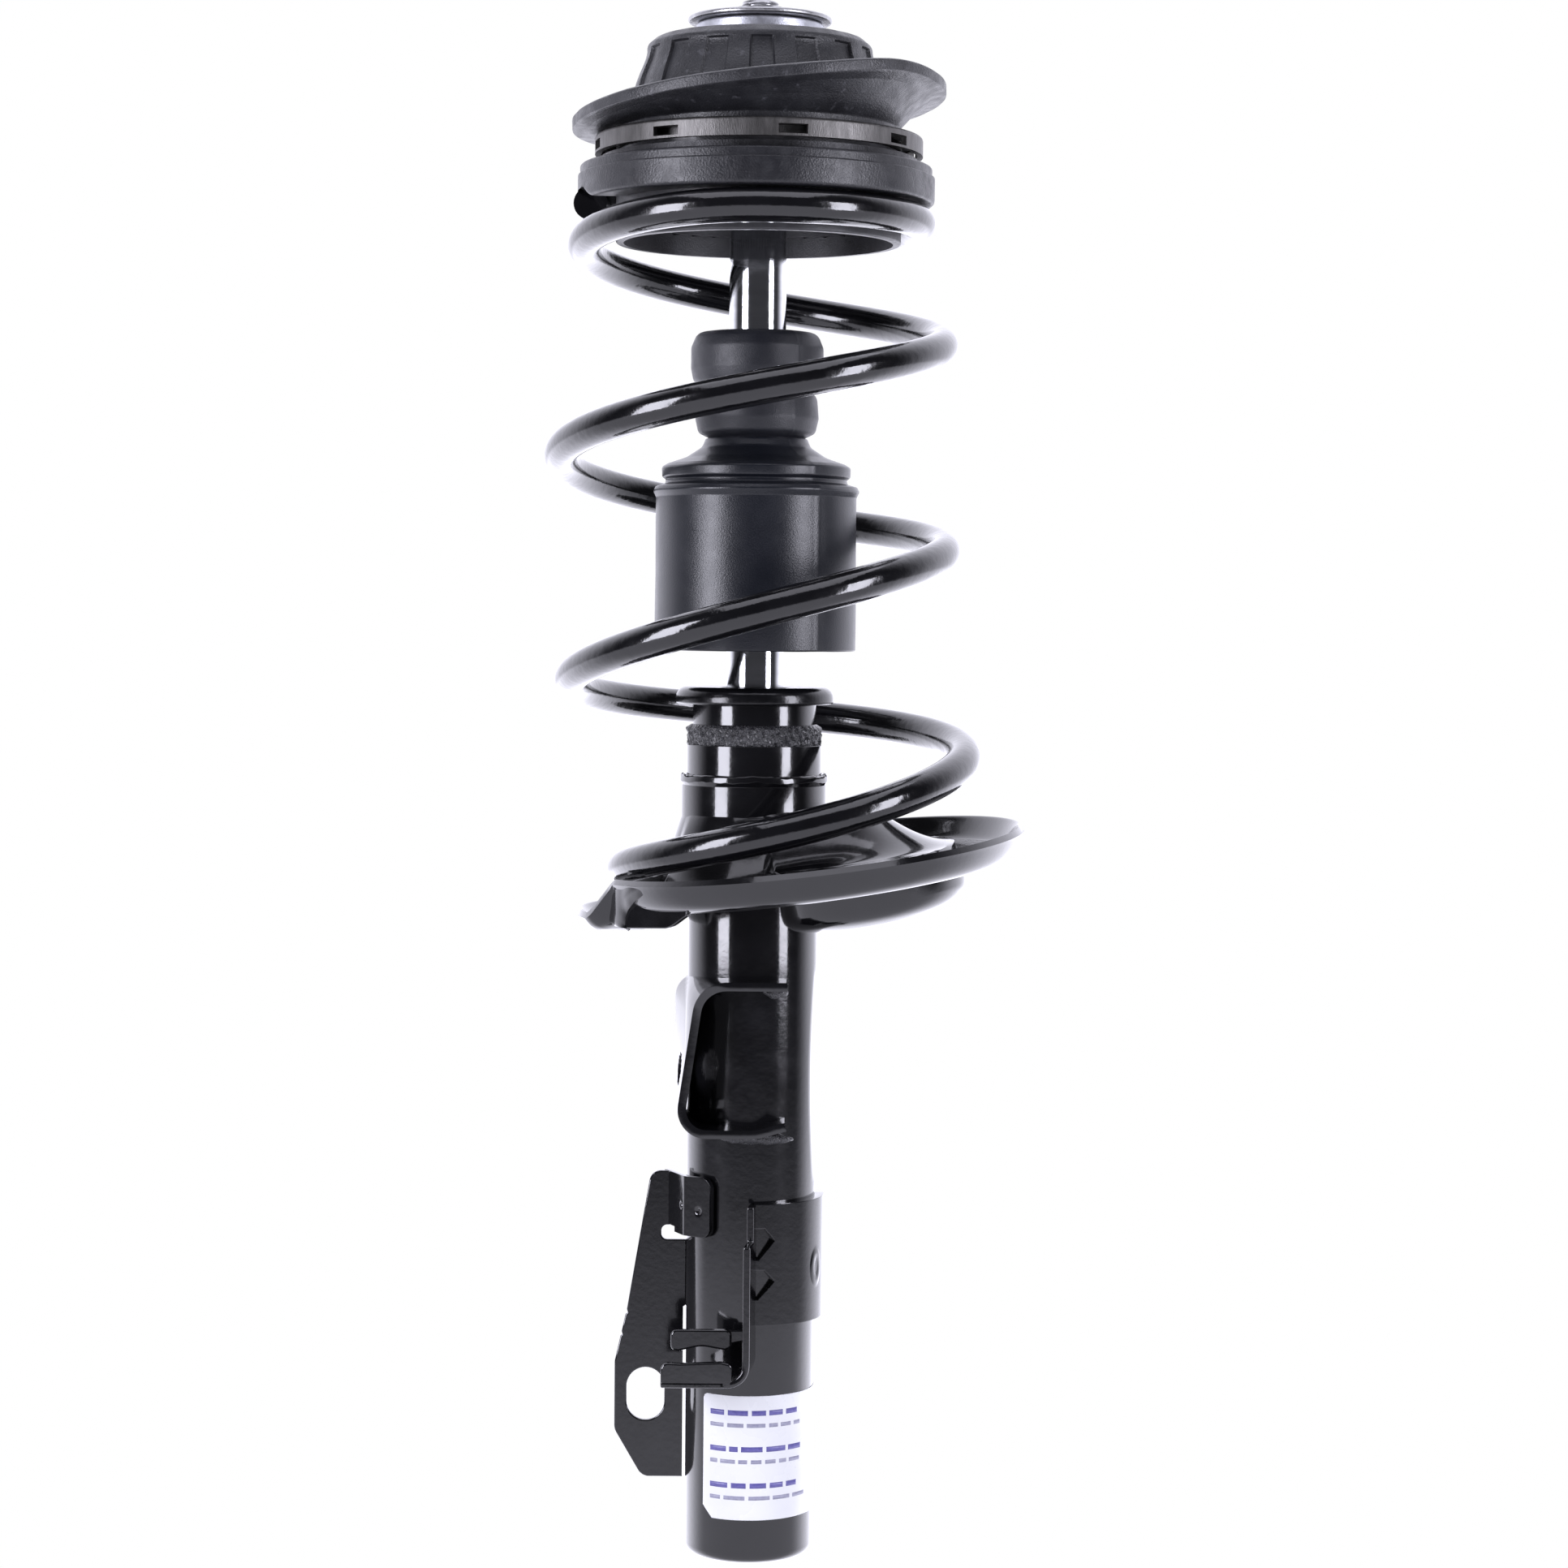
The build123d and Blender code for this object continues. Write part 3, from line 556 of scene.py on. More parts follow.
def pan_point(u, angle):
    """Top surface of the seat: u from 0 at the collar to 1 at the rim's foot and 2 at its lip."""
    low = pocket_share(angle)
    outer = Vector((PAN_X - POCKET_SHIFT * low + PAN_R * cos(angle), PAN_R * sin(angle), 0))
    inner_angle = atan2(outer.y, outer.x)
    inner = Vector((COLLAR_INNER * cos(inner_angle), COLLAR_INNER * sin(inner_angle), 0))
    flat = min(u, 1.0)
    foot = inner.lerp(outer, flat)
    direction = Vector((cos(angle), sin(angle), 0))
    foot -= direction * PAN_LIP * flat
    reach = hypot(foot.x / (1.75 if foot.x > 0 else 1.0), foot.y)
    floor = rim_plane(foot.x, foot.y) + PAN_FLOOR
    ground = floor * (1 - low) + POCKET_Z * low
    across = ease(3, 9, foot.x) * (1 - ease(79, 80.5, foot.x))
    within = 1 - ease(48, 49.5, hypot(foot.x - 30, foot.y))
    ground += SWELL * across * within
    blend_in = ease(27, 46, reach) ** 0.6
    gutter = GUTTER * ease(0.78, 0.96, flat) * (1 - low)
    height = CONE_TOP * (1 - blend_in) + ground * blend_in - gutter
    if u <= 1:
        foot.z = height
        return foot
    climb = u - 1
    rise = RIM_RISE * (1 - low) + POCKET_RISE * low
    foot += direction * (PAN_LIP * climb ** 0.62)
    foot.z = height + rise * (1 - (1 - climb) ** 0.9 * (1 - climb)) * ease(-0.2, 1, climb)
    return foot


def lower_seat():
    angles = [2 * pi * i / 360 for i in range(360)]
    levels = spread(0, 0.35, 16) + spread(0.38, 0.97, 34) + spread(1.0, 2.0, 14)
    piece = sheet("spring_pan", angles, levels, lambda a, u: pan_point(u, a), 2.6, bevel=0.6, offset=1.0,
                  wrap=True)
    place_piece(piece, "strut_body", PAINT, "black_paint", "lower_seat")


def pocket_wall():
    """Recessed wall that closes the step under the rim, beside the low pocket."""
    left, right = Vector((-48.5, -41.5, 0)), Vector((-24.0, -63.0, 0))

    def place(t, v):
        spot = left.lerp(right, t)
        top = rim_plane(spot.x, spot.y) - 4.0
        bottom = 245.6 + 2.0 * t + 5.5 * ease(0.65, 1.1, t)
        spot.z = top + (bottom - top) * v
        return spot

    piece = sheet("pocket_wall", spread(0, 1, 50), spread(0, 1, 20), place, 2.4, bevel=0.6, offset=1.0)
    place_piece(piece, "strut_body", PAINT, "black_paint")


# X and Z stations of the fold's two edges, from its top to its bottom
FOLD_RIGHT = (((0, -37.0), (1, -44.6), (2, -47.0), (3, -47.6), (4, -47.4)),
              ((0, 262.0), (1, 255.6), (2, 251.5), (3, 247.0), (4, 245.8)))
FOLD_LEFT = (((0, -51.5), (1, -55.2), (2, -56.6), (3, -54.8), (4, -52.2)),
             ((0, 262.4), (1, 258.2), (2, 253.2), (3, 248.0), (4, 246.0)))


def rim_fold():
    """Broad fold by which the rim's end turns down to the low pocket."""
    r = PAN_R + 0.4

    def place(t, v):
        x, z = (along(right, t) * (1 - v) + along(left, t) * v for right, left in zip(FOLD_RIGHT, FOLD_LEFT))
        bulge = 1.6 * sin(pi * v)
        y = -(r ** 2 - (x - PAN_X) ** 2) ** 0.5 - bulge
        return Vector((x, y, z)) + rumple((x, y, z), 6.0, 0.25)

    piece = sheet("rim_fold", spread(0, 4, 44), spread(0, 1, 30), place, 3.0, bevel=0.8, offset=1.0)
    place_piece(piece, "strut_body", PAINT, "black_paint")


def seat_support():
    corners = [(39.5, -8.6, 0.8), (38.2, -24.5, 8.0), (30, -28.6, 9.0), (0.4, -28.8), (0.4, -26.8),
               (29, -26.6, 7.0), (35.8, -23.5, 6.0), (37.4, -8.2)]

    def deepen(point, r, z, angle):
        if z < -12:
            point.z += 0.05 * point.x
        point.y *= 1.06
        return point

    piece = lathe("seat_cup", corners, 128, deepen)
    tilt = Matrix.Rotation(radians(-7.7), 4, "Y") @ Matrix.Rotation(radians(2.7), 4, "X")
    piece.data.transform(Matrix.Translation(Vector((PAN_X, 0, PAN_Z)) * MM) @ tilt @
                         Matrix.Translation(Vector((20.0, 0, 0)) * MM))
    place_piece(piece, "strut_body", PAINT, "black_paint", "seat_support")


def lower_pad():
    angles = [radians(a) for a in spread(133, 183, 40)]

    def top(angle, r):
        x = 16 + r * cos(angle)
        y = r * sin(angle)
        trough = 2.0 * (1 - ((r - 63) / 9) ** 2)
        return Vector((x, y, 251.5 - trough))

    piece = sheet("coil_pad", angles, spread(54.5, 71.5, 14), top, 3.4, bevel=0.8, offset=1.0)
    place_piece(piece, "strut_body", ISOLATOR, "isolator_rubber", "lower_pad")


# Coil spring

COIL_HEIGHT = ((0, 522.5), (0.25, 515.0), (0.75, 515.0), (1, 505.8), (2, 425.4), (3, 345.0), (3.75, 284.2),
               (4, 267.0), (4.3, 256.0))
COIL_LEAN = ((0, 0.0), (1.75, 0.5), (3, 7.6), (3.5, 7.7), (4, 1.6), (4.3, 1.6))
COIL_RADIUS = ((0, 65.0), (0.5, 62.5), (1, 67.5), (1.5, 71.5), (2, 74.0), (3.5, 74.0), (4, 66.0), (4.3, 64.0))
COIL_SHIFT = ((0, 0.0), (1.5, 0.0), (2, -2.0), (2.5, -1.0), (3, 2.6), (3.5, 7.4), (4, 15.7), (4.3, 17.0))
COIL_TURNS = 4.12
WIRE_R = 6.5


def coil_point(turn):
    """Centre of the wire at a turn, counted down from the upper end at -X, by way of +Y."""
    angle = pi - 2 * pi * turn
    radius = along(COIL_RADIUS, turn)
    height = along(COIL_HEIGHT, turn) + along(COIL_LEAN, turn) * cos(angle)
    return Vector((along(COIL_SHIFT, turn) + radius * cos(angle), radius * sin(angle), height))


def coil_spring():
    raw = [coil_point(t) for t in spread(0, COIL_TURNS, 520)]
    for _ in range(6):
        raw[1:-1] = [(a + b * 2 + c) / 4 for a, b, c in zip(raw, raw[1:], raw[2:])]
    piece = wire_sweep("spring_coil", raw, WIRE_R, 36)
    place_piece(piece, "strut_body", COIL, "spring_coat", "coil_spring")
    seat_height = disc_size("lower_pad")[2] * MM
    length = coil_point(0).z * MM - seat_height
    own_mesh(piece)


# Upper spring seat

def upper_isolator():
    r, low, high = disc_size("upper_isolator")
    groove = high - 3.7

    def wrap_coil(point, radius, z, angle):
        end = degrees(angle) % 360
        lift = ease(168, 174, end) * (1 - ease(190, 204, end))
        if z < low + 3:
            point.z += 5.6 * lift
        if radius > r - 2 and z < groove:
            point += Vector((cos(angle), sin(angle), 0)) * 0.5 * noise(point / 25)
        point.x -= 1.0
        return point

    ladder = [(r, z) for z in spread(low + 2.4, groove - 0.8, 5)]
    corners = [(55.3, low + 0.4, 0.4), (r - 4, low, 0.6), (r, low, 1.6)] + ladder + [
        (r, groove, 0.5), (r - 0.9, groove, 0.2), (r - 0.8, high, 1.0), (r - 5, high, 0.4), (r - 5, 534.1),
        (55.3, 534.1)]
    piece = lathe("coil_isolator", corners, 240, wrap_coil)
    place_piece(piece, "spring_seat", ISOLATOR, "isolator_rubber", "upper_isolator")


# Top mount

def flange_lift(point, r):
    """How far the rubber flange rises above level, as it leans and waves."""
    share = ease(52, 64, r)
    lean = point.x * tan(radians(5.8)) - point.y * tan(radians(2.5)) - 0.4
    angle = degrees(atan2(point.y, point.x))
    lobe = 2.4 * exp(-((angle + 42) / 24) ** 2) * ease(60, 72, r)
    return share * lean + lobe


def dome_pocket(z, angle, low, high):
    """Depth of the moulded pockets round the dome's wall."""
    pitch = 22.5
    turn = (degrees(angle) + 90 - 1.5) % pitch
    off = min(turn, pitch - turn)
    side = 1 - ease(5.2, 6.0, off)
    tall = ease(low, low + 0.7, z) * (1 - ease(high - 0.7, high, z))
    return 1.25 * side * tall


def mount_rubber():
    core = 16.0
    base_z = 560.4
    shoulder_z = 582.6
    wall = [(along(((base_z, 49.6), (567, 48.0), (shoulder_z - 1, 43.4)), z), z)
            for z in spread(base_z + 1.5, shoulder_z - 1.2, 30)]

    def shape(point, r, z, angle):
        away = Vector((cos(angle), sin(angle), 0))
        if z > base_z - 0.5 and r > 40:
            point -= away * dome_pocket(z, angle, 562.5, 580.6)
            point += away * 0.12 * sin(angle * 3 + z * 0.2)
        if z > base_z - 0.5:
            notch = ease(-52, -47, degrees(angle)) * (1 - ease(-14, -7, degrees(angle)))
            point -= away * 12.5 * notch * ease(561.5, 567, z) * ease(28, 43, r)
            point.z -= 2.6 * notch * ease(572, 584, z) * ease(26, 36, r)
        if z < base_z + 6:
            point.z += flange_lift(point, r)
        return point + rumple(point, 9.0, 0.12)

    skirt = [(53.5, 548.2, 0.6), (53.7, 551.0, 1.0), (60, 554.0, 1.5), (66, 556.4, 1.5), (70.8, 557.0, 0.5)]
    rim = [(72, 557.4, 0.5), (72, 561.3, 0.9), (70.8, 562.0, 0.6), (62, 562.1, 3.0), (53, 561.2, 2.0)]
    top = [(43.0, shoulder_z, 1.8), (39.8, 585.2, 2.5), (24.8, 586.4, 0.4), (24.8, 585.4), (core, 585.4)]
    corners = [(core, 549.2), (28, 549.2), (28, 548.2)] + skirt + rim + [(50.2, base_z, 0.8)] + wall + top
    piece = lathe("rubber_dome", corners, 480, shape, sharp=38)
    place_piece(piece, "top_mount", RUBBER, "mount_rubber", "mount_rubber")


def mount_collar():
    r, low, high = disc_size("mount_collar")
    corners = [(17.6, low), (r, low, 0.3), (r, high, 0.9), (19.8, high, 0.4)]
    piece = lathe("alloy_collar", corners, 160)
    place_piece(piece, "top_mount", ALLOY, "pale_alloy", "mount_collar")


def rebound_washer():
    r, low, high = disc_size("rebound_washer")
    corners = [(7.2, low), (15, low, 1.5), (19, high - 2.8, 1.5), (r, high - 2.0, 0.95), (r, high, 0.95),
               (18, high - 0.4, 1.5), (14.2, low + 2.4, 1.5), (7.2, low + 2.4)]
    piece = lathe("dished_washer", corners, 176)
    place_piece(piece, "top_mount", SATIN, "satin_steel", "rebound_washer")


def rod_end(high):
    """Threaded end of the rod in a duller finish."""
    r, pitch, depth = 7.15, 1.5, 0.45

    def thread(point, radius, z, angle):
        if radius > 6.5 and z > 594.5:
            away = Vector((cos(angle), sin(angle), 0))
            point -= away * depth * (0.5 + 0.5 * cos(2 * pi * (z / pitch - angle / (2 * pi))))
        return point

    ladder = [(r, z) for z in spread(592, high - 0.5, 34)]
    corners = [(0.02, 561), (r, 561, 0.3)] + ladder + [(r - 0.5, high, 0.2), (0.02, high)]
    piece = lathe("threaded_end", corners, 144, thread)
    place_piece(piece, "top_mount", SATIN, "satin_steel")


def piston_rod():
    r, low, high = disc_size("piston_rod")
    piston_seat, neck = 203, 560
    corners = [(0.02, low), (5.2, low, 0.2), (6, low + 0.8), (6, piston_seat), (r, piston_seat, 0.4),
               (r, neck, 0.4), (7, neck), (7, neck + 2), (0.02, neck + 2)]
    piece = lathe("polished_rod", corners, 144)
    rod_end(high)
    place_piece(piece, "top_mount", CHROME, "chrome_rod", "piston_rod")


# Bump stop and dust boot

def parting(angle, where=-52.0):
    """Height of a moulding's parting line at an angle."""
    off = (degrees(angle) - where + 180) % 360 - 180
    return exp(-(off / 0.9) ** 2) + exp(-((abs(off) - 180) / 0.9) ** 2)


def soft_shape(amount):
    def shape(point, r, z, angle):
        away = Vector((cos(angle), sin(angle), 0))
        return point + away * (0.22 * parting(angle)) + rumple(point, 14.0, amount)
    return shape


def bump_stop():
    r, low, high = disc_size("bump_stop")
    bore = 11.4
    nose = [(bore, low, 0.5), (17, low, 2.0), (18.7, low + 6, 2.0), (18.6, low + 17.4, 1.0)]
    small_lobe = [(22.6, low + 19.4, 2.6), (23.9, low + 25, 5.0), (23.2, low + 33.0, 4.2),
                  (20.2, low + 36.2, 1.4)]
    large_lobe = [(r - 1.0, low + 39, 3.0), (r, low + 44, 4.0), (r, high - 6, 4.0), (r - 2.4, high, 4.0),
                  (bore, high, 1.0)]
    corners = nose + small_lobe + large_lobe
    piece = lathe("bump_lobes", corners, 240, soft_shape(0.14))
    place_piece(piece, "bumper", FOAM, "bumper_foam", "bump_stop")


def dust_boot():
    low = disc_size("dust_boot")[1]
    neck = [(19.0, 432.0, 0.2), (19.7, 432.0, 0.3), (21.0, 428.8, 3.5), (27.0, 424.8, 9.0),
            (34.4, 422.3, 2.0)]
    rings = [(36.6, 421.0, 1.3), (36.4, 417.2, 1.2), (35.0, 416.2, 0.6), (35.4, 414.6, 0.8),
             (39.0, 413.6, 1.2), (39.9, 411.8, 1.0), (38.8, 409.4, 1.6)]
    skirt = [(38.75, 400, 0), (38.8, 380, 0), (38.9, 365, 0), (38.9, low, 0.7), (36.6, low, 0.6)]
    inside = [(36.4, 410, 2.0), (33.4, 417.6, 1.0), (19.0, 427.9)]
    corners = neck + rings + skirt + inside
    piece = lathe("boot_cup", corners, 240, soft_shape(0.16))
    place_piece(piece, "bumper", BOOT, "boot_rubber", "dust_boot")
    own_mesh(piece)


# Brackets

def link_bracket():
    """Bent channel whose web leans towards its mouth."""
    low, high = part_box("link_bracket")
    bottom, top, right, near = low.z / MM, high.z / MM, high.x / MM, low.y / MM

    def section(upper, lower, corner):
        """Outline of the channel from the upper flange's end round to the lower one's."""
        corners = [(right, top), (upper, top, corner), (lower, bottom, 11), (right, bottom)]
        return rounded(corners, 14, closed=False)

    count = 150
    back = resampled(section(-29.8, -29.8, 9), count)
    front = resampled(section(-20.4, -29.4, 13), count)
    hole_y, hole_z, hole_r = -22, 190, 6.2

    def place(s, depth):
        i = round(s)
        spot = back[i].lerp(front[i], depth)
        from_tube = (max(0.0, TUBE_R ** 2 - spot.x ** 2)) ** 0.5 - 0.5 if abs(spot.x) < TUBE_R else 0.0
        y = -from_tube * (1 - depth) + near * depth
        flick = 3.6 * ease(0, right + 4, spot.x) * (spot.y < bottom + 5)
        return Vector((spot.x, y, spot.y + flick))

    def keep(s, depth):
        spot = place(min(count - 1, round(s)), depth)
        return not (spot.x < -15 and hypot(spot.y - hole_y, spot.z - hole_z) < hole_r)

    piece = sheet("link_channel", list(range(count)), spread(0, 1, 40), place, 3.3, keep, bevel=0.75,
                  offset=-1.0)
    lower_weld = blob("bracket_weld_3", (2.5, -25.0, bottom - 1.2), (14, 2.6, 2.4), 3)
    upper_weld = blob("bracket_weld_8", (9, -23.5, top - 5), (5, 2.4, 2.2), 8)
    for weld in (lower_weld, upper_weld):
        place_piece(weld, "strut_body", WELD, "weld")
    place_piece(piece, "strut_body", PAINT, "black_paint", "link_bracket")


def side_plate():
    foot = [(-25.8, 28.6), (-41.5, 28.6, 5), (-52.3, 47.0, 6), (-52.3, 73.7, 10)]
    notched_edge = [(-50.1, 83.5), (-49.3, 84.1), (-49.7, 85.3), (-48.2, 92.0), (-47.3, 92.5), (-47.7, 94.0)]
    head = [(-38.6, 148.2, 4.5), (-31.0, 148.2, 0.5), (-31.0, 127.0, 0.4)]
    cutout = [(-34.4, 127.0, 2.2), (-34.4, 121.4, 2.2), (-24.6, 121.4, 0.4)]
    outline = foot + notched_edge + head + cutout + [(-24.6, 96.0, 0.3), (-25.8, 95.0)]
    holes = [oval(-40.2, 61.0, 14.6, 20.5)]
    piece = plate("flat_plate", outline, holes, 2.7, 0.55)
    piece.data.transform(Matrix.Translation(Vector((0, -1.35, 0)) * MM))
    place_piece(piece, "strut_body", PAINT, "black_paint", "side_plate")
    side_tab()


def side_tab():
    """Tab of the side plate, folded in to the tube, with two dimples."""
    low, high, corner = 125.4, 148.3, 4.0
    count = 120
    corners = [(-33.4, -0.3), (-32.4, -1.2, 1.0), (-25.5, -16.6, 2.5), (-15.4, -24.4)]
    bend = resampled(rounded(corners, 8, closed=False), count)
    length = sum((b - a).length for a, b in zip(bend, bend[1:]))
    dimples = ((16.0, 136.8), (25.4, 135.4))

    def tab_place(i, z):
        spot = bend[round(i)]
        travel = length * i / (count - 1)
        inward = Vector((-spot.x, -spot.y, 0)).normalized()
        dent = sum(exp(-((travel - s) / 0.9) ** 2 - ((z - height) / 0.9) ** 2) for s, height in dimples)
        return Vector((spot.x, spot.y, z)) + inward * 1.1 * dent

    def tab_keep(i, z):
        travel = length * i / (count - 1)
        over = max(0.0, travel - (length - corner))
        off = max(0.0, z - (high - corner), low + corner - z)
        return hypot(over, off) < corner and (travel > 9 or z > low + 2)

    tab = sheet("bent_tab", list(range(count)), spread(low, high, 90), tab_place, 2.6, tab_keep, bevel=0.6,
                offset=-1.0)
    place_piece(tab, "strut_body", PAINT, "black_paint")


def clip_band(top):
    """Band round the tube with two ragged openings beside the fin and a raised oval."""
    windows = ((103.0, 114.0), (118.0, 130.0))
    oval_angle, oval_z = -26, 113

    def place(angle, z):
        a = radians(angle)
        around = (angle - oval_angle) * TUBE_R * pi / 180
        ring_off = hypot(around / 2.4, (z - oval_z) / 5.2) - 1
        r = TUBE_R + 0.32 * exp(-(ring_off / 0.3) ** 2)
        return Vector((cos(a), sin(a), 0)) * r + Vector((0, 0, z))

    def keep(angle, z):
        for low, high in windows:
            share = (z - low) / (high - low)
            reach = -83 + 13 * (1 - abs(share - 0.62) / 0.62)
            if 0 < share < 1 and -87 < angle < reach:
                return False
        return True

    band = sheet("clip_band", spread(-88, 6, 230), spread(92.8, top, 130), place, 3.4, keep, bevel=0.55,
                 offset=1.0)
    place_piece(band, "strut_body", PAINT, "black_paint", "hose_bracket")


def clip_fin(top, near):
    """Fin and shelf bent from one strip; the fin leans as it comes forward, and its top is cut back."""
    root = -25.5
    line = resampled(rounded([(1.35, top), (1.35, 73.9, 7.0), (-33.0, 73.9)], 12, closed=False), 110)

    def place(i, y):
        spot = line[round(i)]
        return Vector((spot.x - 0.11 * (root - y) * ease(-33, -12, spot.x), y, spot.y))

    def keep(i, y):
        return line[round(i)].y < 126.5 or y > -35

    strip = sheet("clip_fin", list(range(110)), spread(root, near, 24), place, 2.7, keep, bevel=0.7, offset=0)
    place_piece(strip, "strut_body", PAINT, "black_paint")


def clip_lip(near):
    """Turned-up front edge of the shelf."""
    outline = [(-33, 72.6, 0.6), (-6, 72.6, 0.6), (-6, 81.6, 2.0), (-10, 82.6, 2.0), (-26, 82.0, 8),
               (-33, 82.4, 3.0)]
    lip = plate("clip_lip", outline, [], 2.7, 0.8)
    lip.data.transform(Matrix.Translation(Vector((0, near + 1.35, 0)) * MM))
    place_piece(lip, "strut_body", PAINT, "black_paint")


def clip_jaw():
    """Upper jaw over the shelf, hollowed along its lower edge, and the arm that holds it."""
    outline = [(-29.6, 84.8, 2.0), (-26.8, 84.2, 1.5), (-18, 86.2, 12), (-8.8, 84.6, 1.5), (-6.4, 86.0, 1.2),
               (-6.4, 92.5, 2.5), (-29.6, 92.5, 2.5)]
    jaw = plate("clip_jaw", outline, [], 2.7, 0.8)
    jaw.data.transform(Matrix.Translation(Vector((0, -33.0, 0)) * MM))
    place_piece(jaw, "strut_body", PAINT, "black_paint")
    arm = plate("clip_arm", [(-9, 86.6, 1), (0.8, 88.5), (0.8, 91.8), (-9, 91.8, 1)], [], 2.7, 0.4)
    arm.data.transform(Matrix.Translation(Vector((0, -31.0, 0)) * MM))
    place_piece(arm, "strut_body", PAINT, "black_paint")


def hose_bracket():
    low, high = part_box("hose_bracket")
    top, near = high.z / MM, low.y / MM
    clip_band(top)
    clip_fin(top, near)
    clip_lip(near)
    clip_jaw()


# Label

def word_marks(start, end):
    """Spans of a row of plain dashes, which stand in for a printed line."""
    marks = []
    while start < end:
        length = random.uniform(7, 19)
        marks.append((start, min(start + length, end)))
        start += length + 3.2
    return marks


def label():
    low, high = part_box("label")
    bottom, top = low.z / MM, high.z / MM
    start, end = -133.0, 12.0
    margin = 8
    corner = 2.2

    def skin(lift):
        def place(angle, z):
            a = radians(angle)
            return Vector(((TUBE_R + lift) * cos(a), (TUBE_R + lift) * sin(a), z))
        return place

    def keep(angle, z):
        x = (angle - start) * TUBE_R * pi / 180
        far = (end - angle) * TUBE_R * pi / 180
        over_top, under_bottom = z - top + corner, bottom + corner - z
        cut_corner = x + (z - bottom) > 4.6
        round_top = hypot(max(0, corner - x), max(0, over_top)) < corner
        round_right = hypot(max(0, corner - far), max(0, over_top, under_bottom)) < corner
        return cut_corner and round_top and round_right

    film = sheet("label_film", spread(start, end, 180), spread(bottom, top, 130), skin(0.03), 0.12, keep,
                 bevel=0, offset=1.0)
    place_piece(film, "strut_body", FILM, "label_film", "label")

    random.seed(11)
    for group, middle in enumerate((58.6, 44.6, 30.6)):
        for row, (drop, height, finish, reach) in enumerate(((0, 2.0, INK, 92), (4.8, 1.5, PALE_INK, 104))):
            marks = word_marks(start + margin, start + reach + random.uniform(-12, 12))
            z = middle - drop
            line = sheet(f"label_line_{group}_{row}", spread(start + margin, start + 124, 240),
                         [z - height / 2, z, z + height / 2], skin(0.155), 0.02,
                         lambda a, _, marks=marks: any(first < a < last for first, last in marks), bevel=0)
            place_piece(line, "strut_body", finish, "label_film")


# Camera, light and surroundings

COOL = (0.97, 0.965, 1.09)


def add_camera():
    data = bpy.data.cameras.new("camera")
    data.sensor_width = 36.0
    data.lens = 81.43
    data.shift_y = -0.0385
    data.clip_start = 0.05
    camera = bpy.data.objects.new("camera", data)
    scene.collection.objects.link(camera)
    aim = Matrix.Rotation(radians(88.3), 4, "X") @ Matrix.Rotation(radians(0.4927), 4, "Z")
    camera.matrix_world = Matrix.Translation((0.0115, -1.3741, 0.3629)) @ aim
    scene.camera = camera


def add_panel(name, place, target, size, power):
    """Soft rectangular light that the camera doesn't see."""
    data = bpy.data.lights.new(name, "AREA")
    data.shape = "RECTANGLE"
    data.size, data.size_y = size
    data.energy = power
    data.color = COOL
    lamp = bpy.data.objects.new(name, data)
    scene.collection.objects.link(lamp)
    place = Vector(place)
    lamp.rotation_euler = (Vector(target) - place).to_track_quat("-Z", "Y").to_euler()
    lamp.location = place
    lamp.visible_camera = False


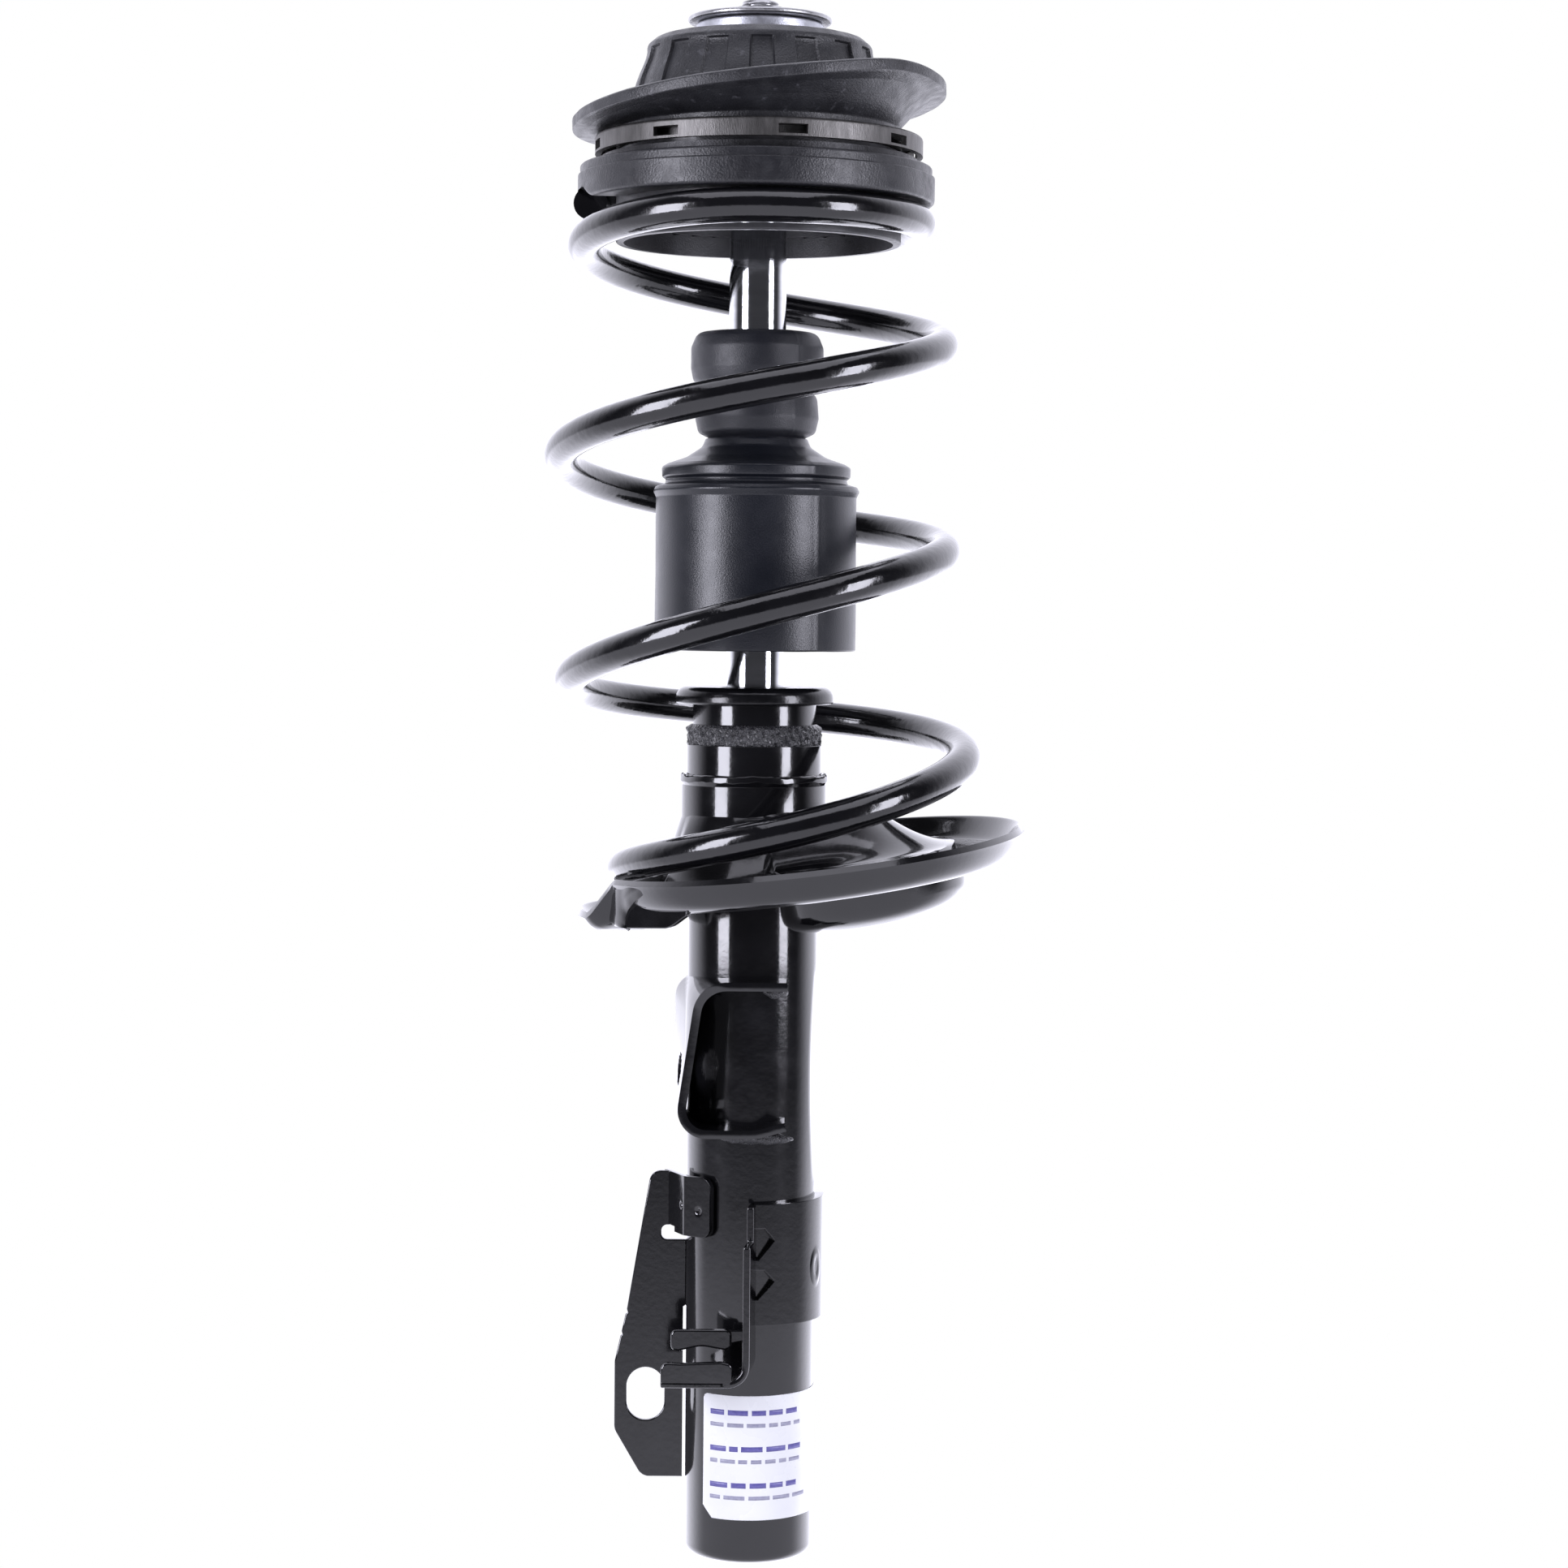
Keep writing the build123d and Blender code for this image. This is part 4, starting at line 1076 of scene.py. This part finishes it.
def add_world():
    """White to the eye; to the object, dark in front and white behind, as in a high-key studio."""
    world = bpy.data.worlds.new("studio")
    world.use_nodes = True
    tree = world.node_tree
    backdrop = tree.nodes["Background"]
    backdrop.inputs["Color"].default_value = (1, 1, 1, 1)
    backdrop.inputs["Strength"].default_value = 1.0
    where = tree.nodes.new("ShaderNodeTexCoord").outputs["Generated"]
    parts = tree.nodes.new("ShaderNodeSeparateXYZ")
    tree.links.new(where, parts.inputs["Vector"])
    depth = tree.nodes.new("ShaderNodeMapRange")
    depth.interpolation_type = "SMOOTHSTEP"
    depth.inputs["From Min"].default_value = -0.1
    depth.inputs["From Max"].default_value = 0.6
    depth.inputs["To Min"].default_value = 0.05
    depth.inputs["To Max"].default_value = 1.7
    tree.links.new(parts.outputs["Y"], depth.inputs["Value"])
    table = tree.nodes.new("ShaderNodeMapRange")
    table.interpolation_type = "SMOOTHSTEP"
    table.inputs["From Min"].default_value = -0.11
    table.inputs["From Max"].default_value = -0.26
    table.inputs["To Max"].default_value = 1.1
    tree.links.new(parts.outputs["Z"], table.inputs["Value"])
    total = tree.nodes.new("ShaderNodeMath")
    tree.links.new(depth.outputs["Result"], total.inputs[0])
    tree.links.new(table.outputs["Result"], total.inputs[1])
    room = tree.nodes.new("ShaderNodeBackground")
    room.inputs["Color"].default_value = (*COOL, 1)
    tree.links.new(total.outputs["Value"], room.inputs["Strength"])
    rays = tree.nodes.new("ShaderNodeLightPath")
    mix = tree.nodes.new("ShaderNodeMixShader")
    tree.links.new(rays.outputs["Is Camera Ray"], mix.inputs[0])
    tree.links.new(room.outputs["Background"], mix.inputs[1])
    tree.links.new(backdrop.outputs["Background"], mix.inputs[2])
    tree.links.new(mix.outputs["Shader"], tree.nodes["World Output"].inputs["Surface"])
    scene.world = world


def add_studio():
    add_world()
    middle = (0, 0, 0.45)
    add_panel("strip_left", (-1.00, -0.78, 0.56), middle, (0.48, 0.92), 18)
    add_panel("strip_right", (1.06, -0.69, 0.56), middle, (0.36, 0.92), 13)
    add_panel("top_panel", (0, -0.3, 1.9), middle, (1.6, 1.6), 14)
    scene.view_settings.view_transform = "Standard"


def paint_kept_nodes():
    """Finish the CAD nodes that show as they are."""
    finishes = {
        PAINT: ("base_plug",),
        STEEL: ("base_valve_discs", "inner_cylinder", "piston_discs", "piston_nut", "rebound_stop",
                "mount_plate", "mount_core", "bearing_balls"),
        # The lower race takes the near-black painted shade of the gap under the bearing ring
        RACE_SHADE: ("bearing_lower_race",),
        IRON: ("base_valve", "rod_guide", "piston"),
        BRONZE: ("guide_bush",),
        SEAL: ("rod_seal", "rebound_cushion"),
        PTFE: ("piston_ring",),
        PLASTIC: ("upper_seat", "ball_cage"),
        BEARING: ("bearing_case",),
        SATIN: ("top_nut",),
    }
    for finish, names in finishes.items():
        for name in names:
            paint_node(name, finish)


add_camera()
for make in (strut_tube, sleeve, sleeve_weld, bump_cap, seat_collar, lower_seat, pocket_wall, rim_fold,
             seat_support, lower_pad, coil_spring, upper_isolator, mount_rubber, mount_collar, rebound_washer,
             piston_rod, bump_stop, dust_boot, link_bracket, side_plate, hose_bracket, label):
    make()
paint_kept_nodes()
add_studio()
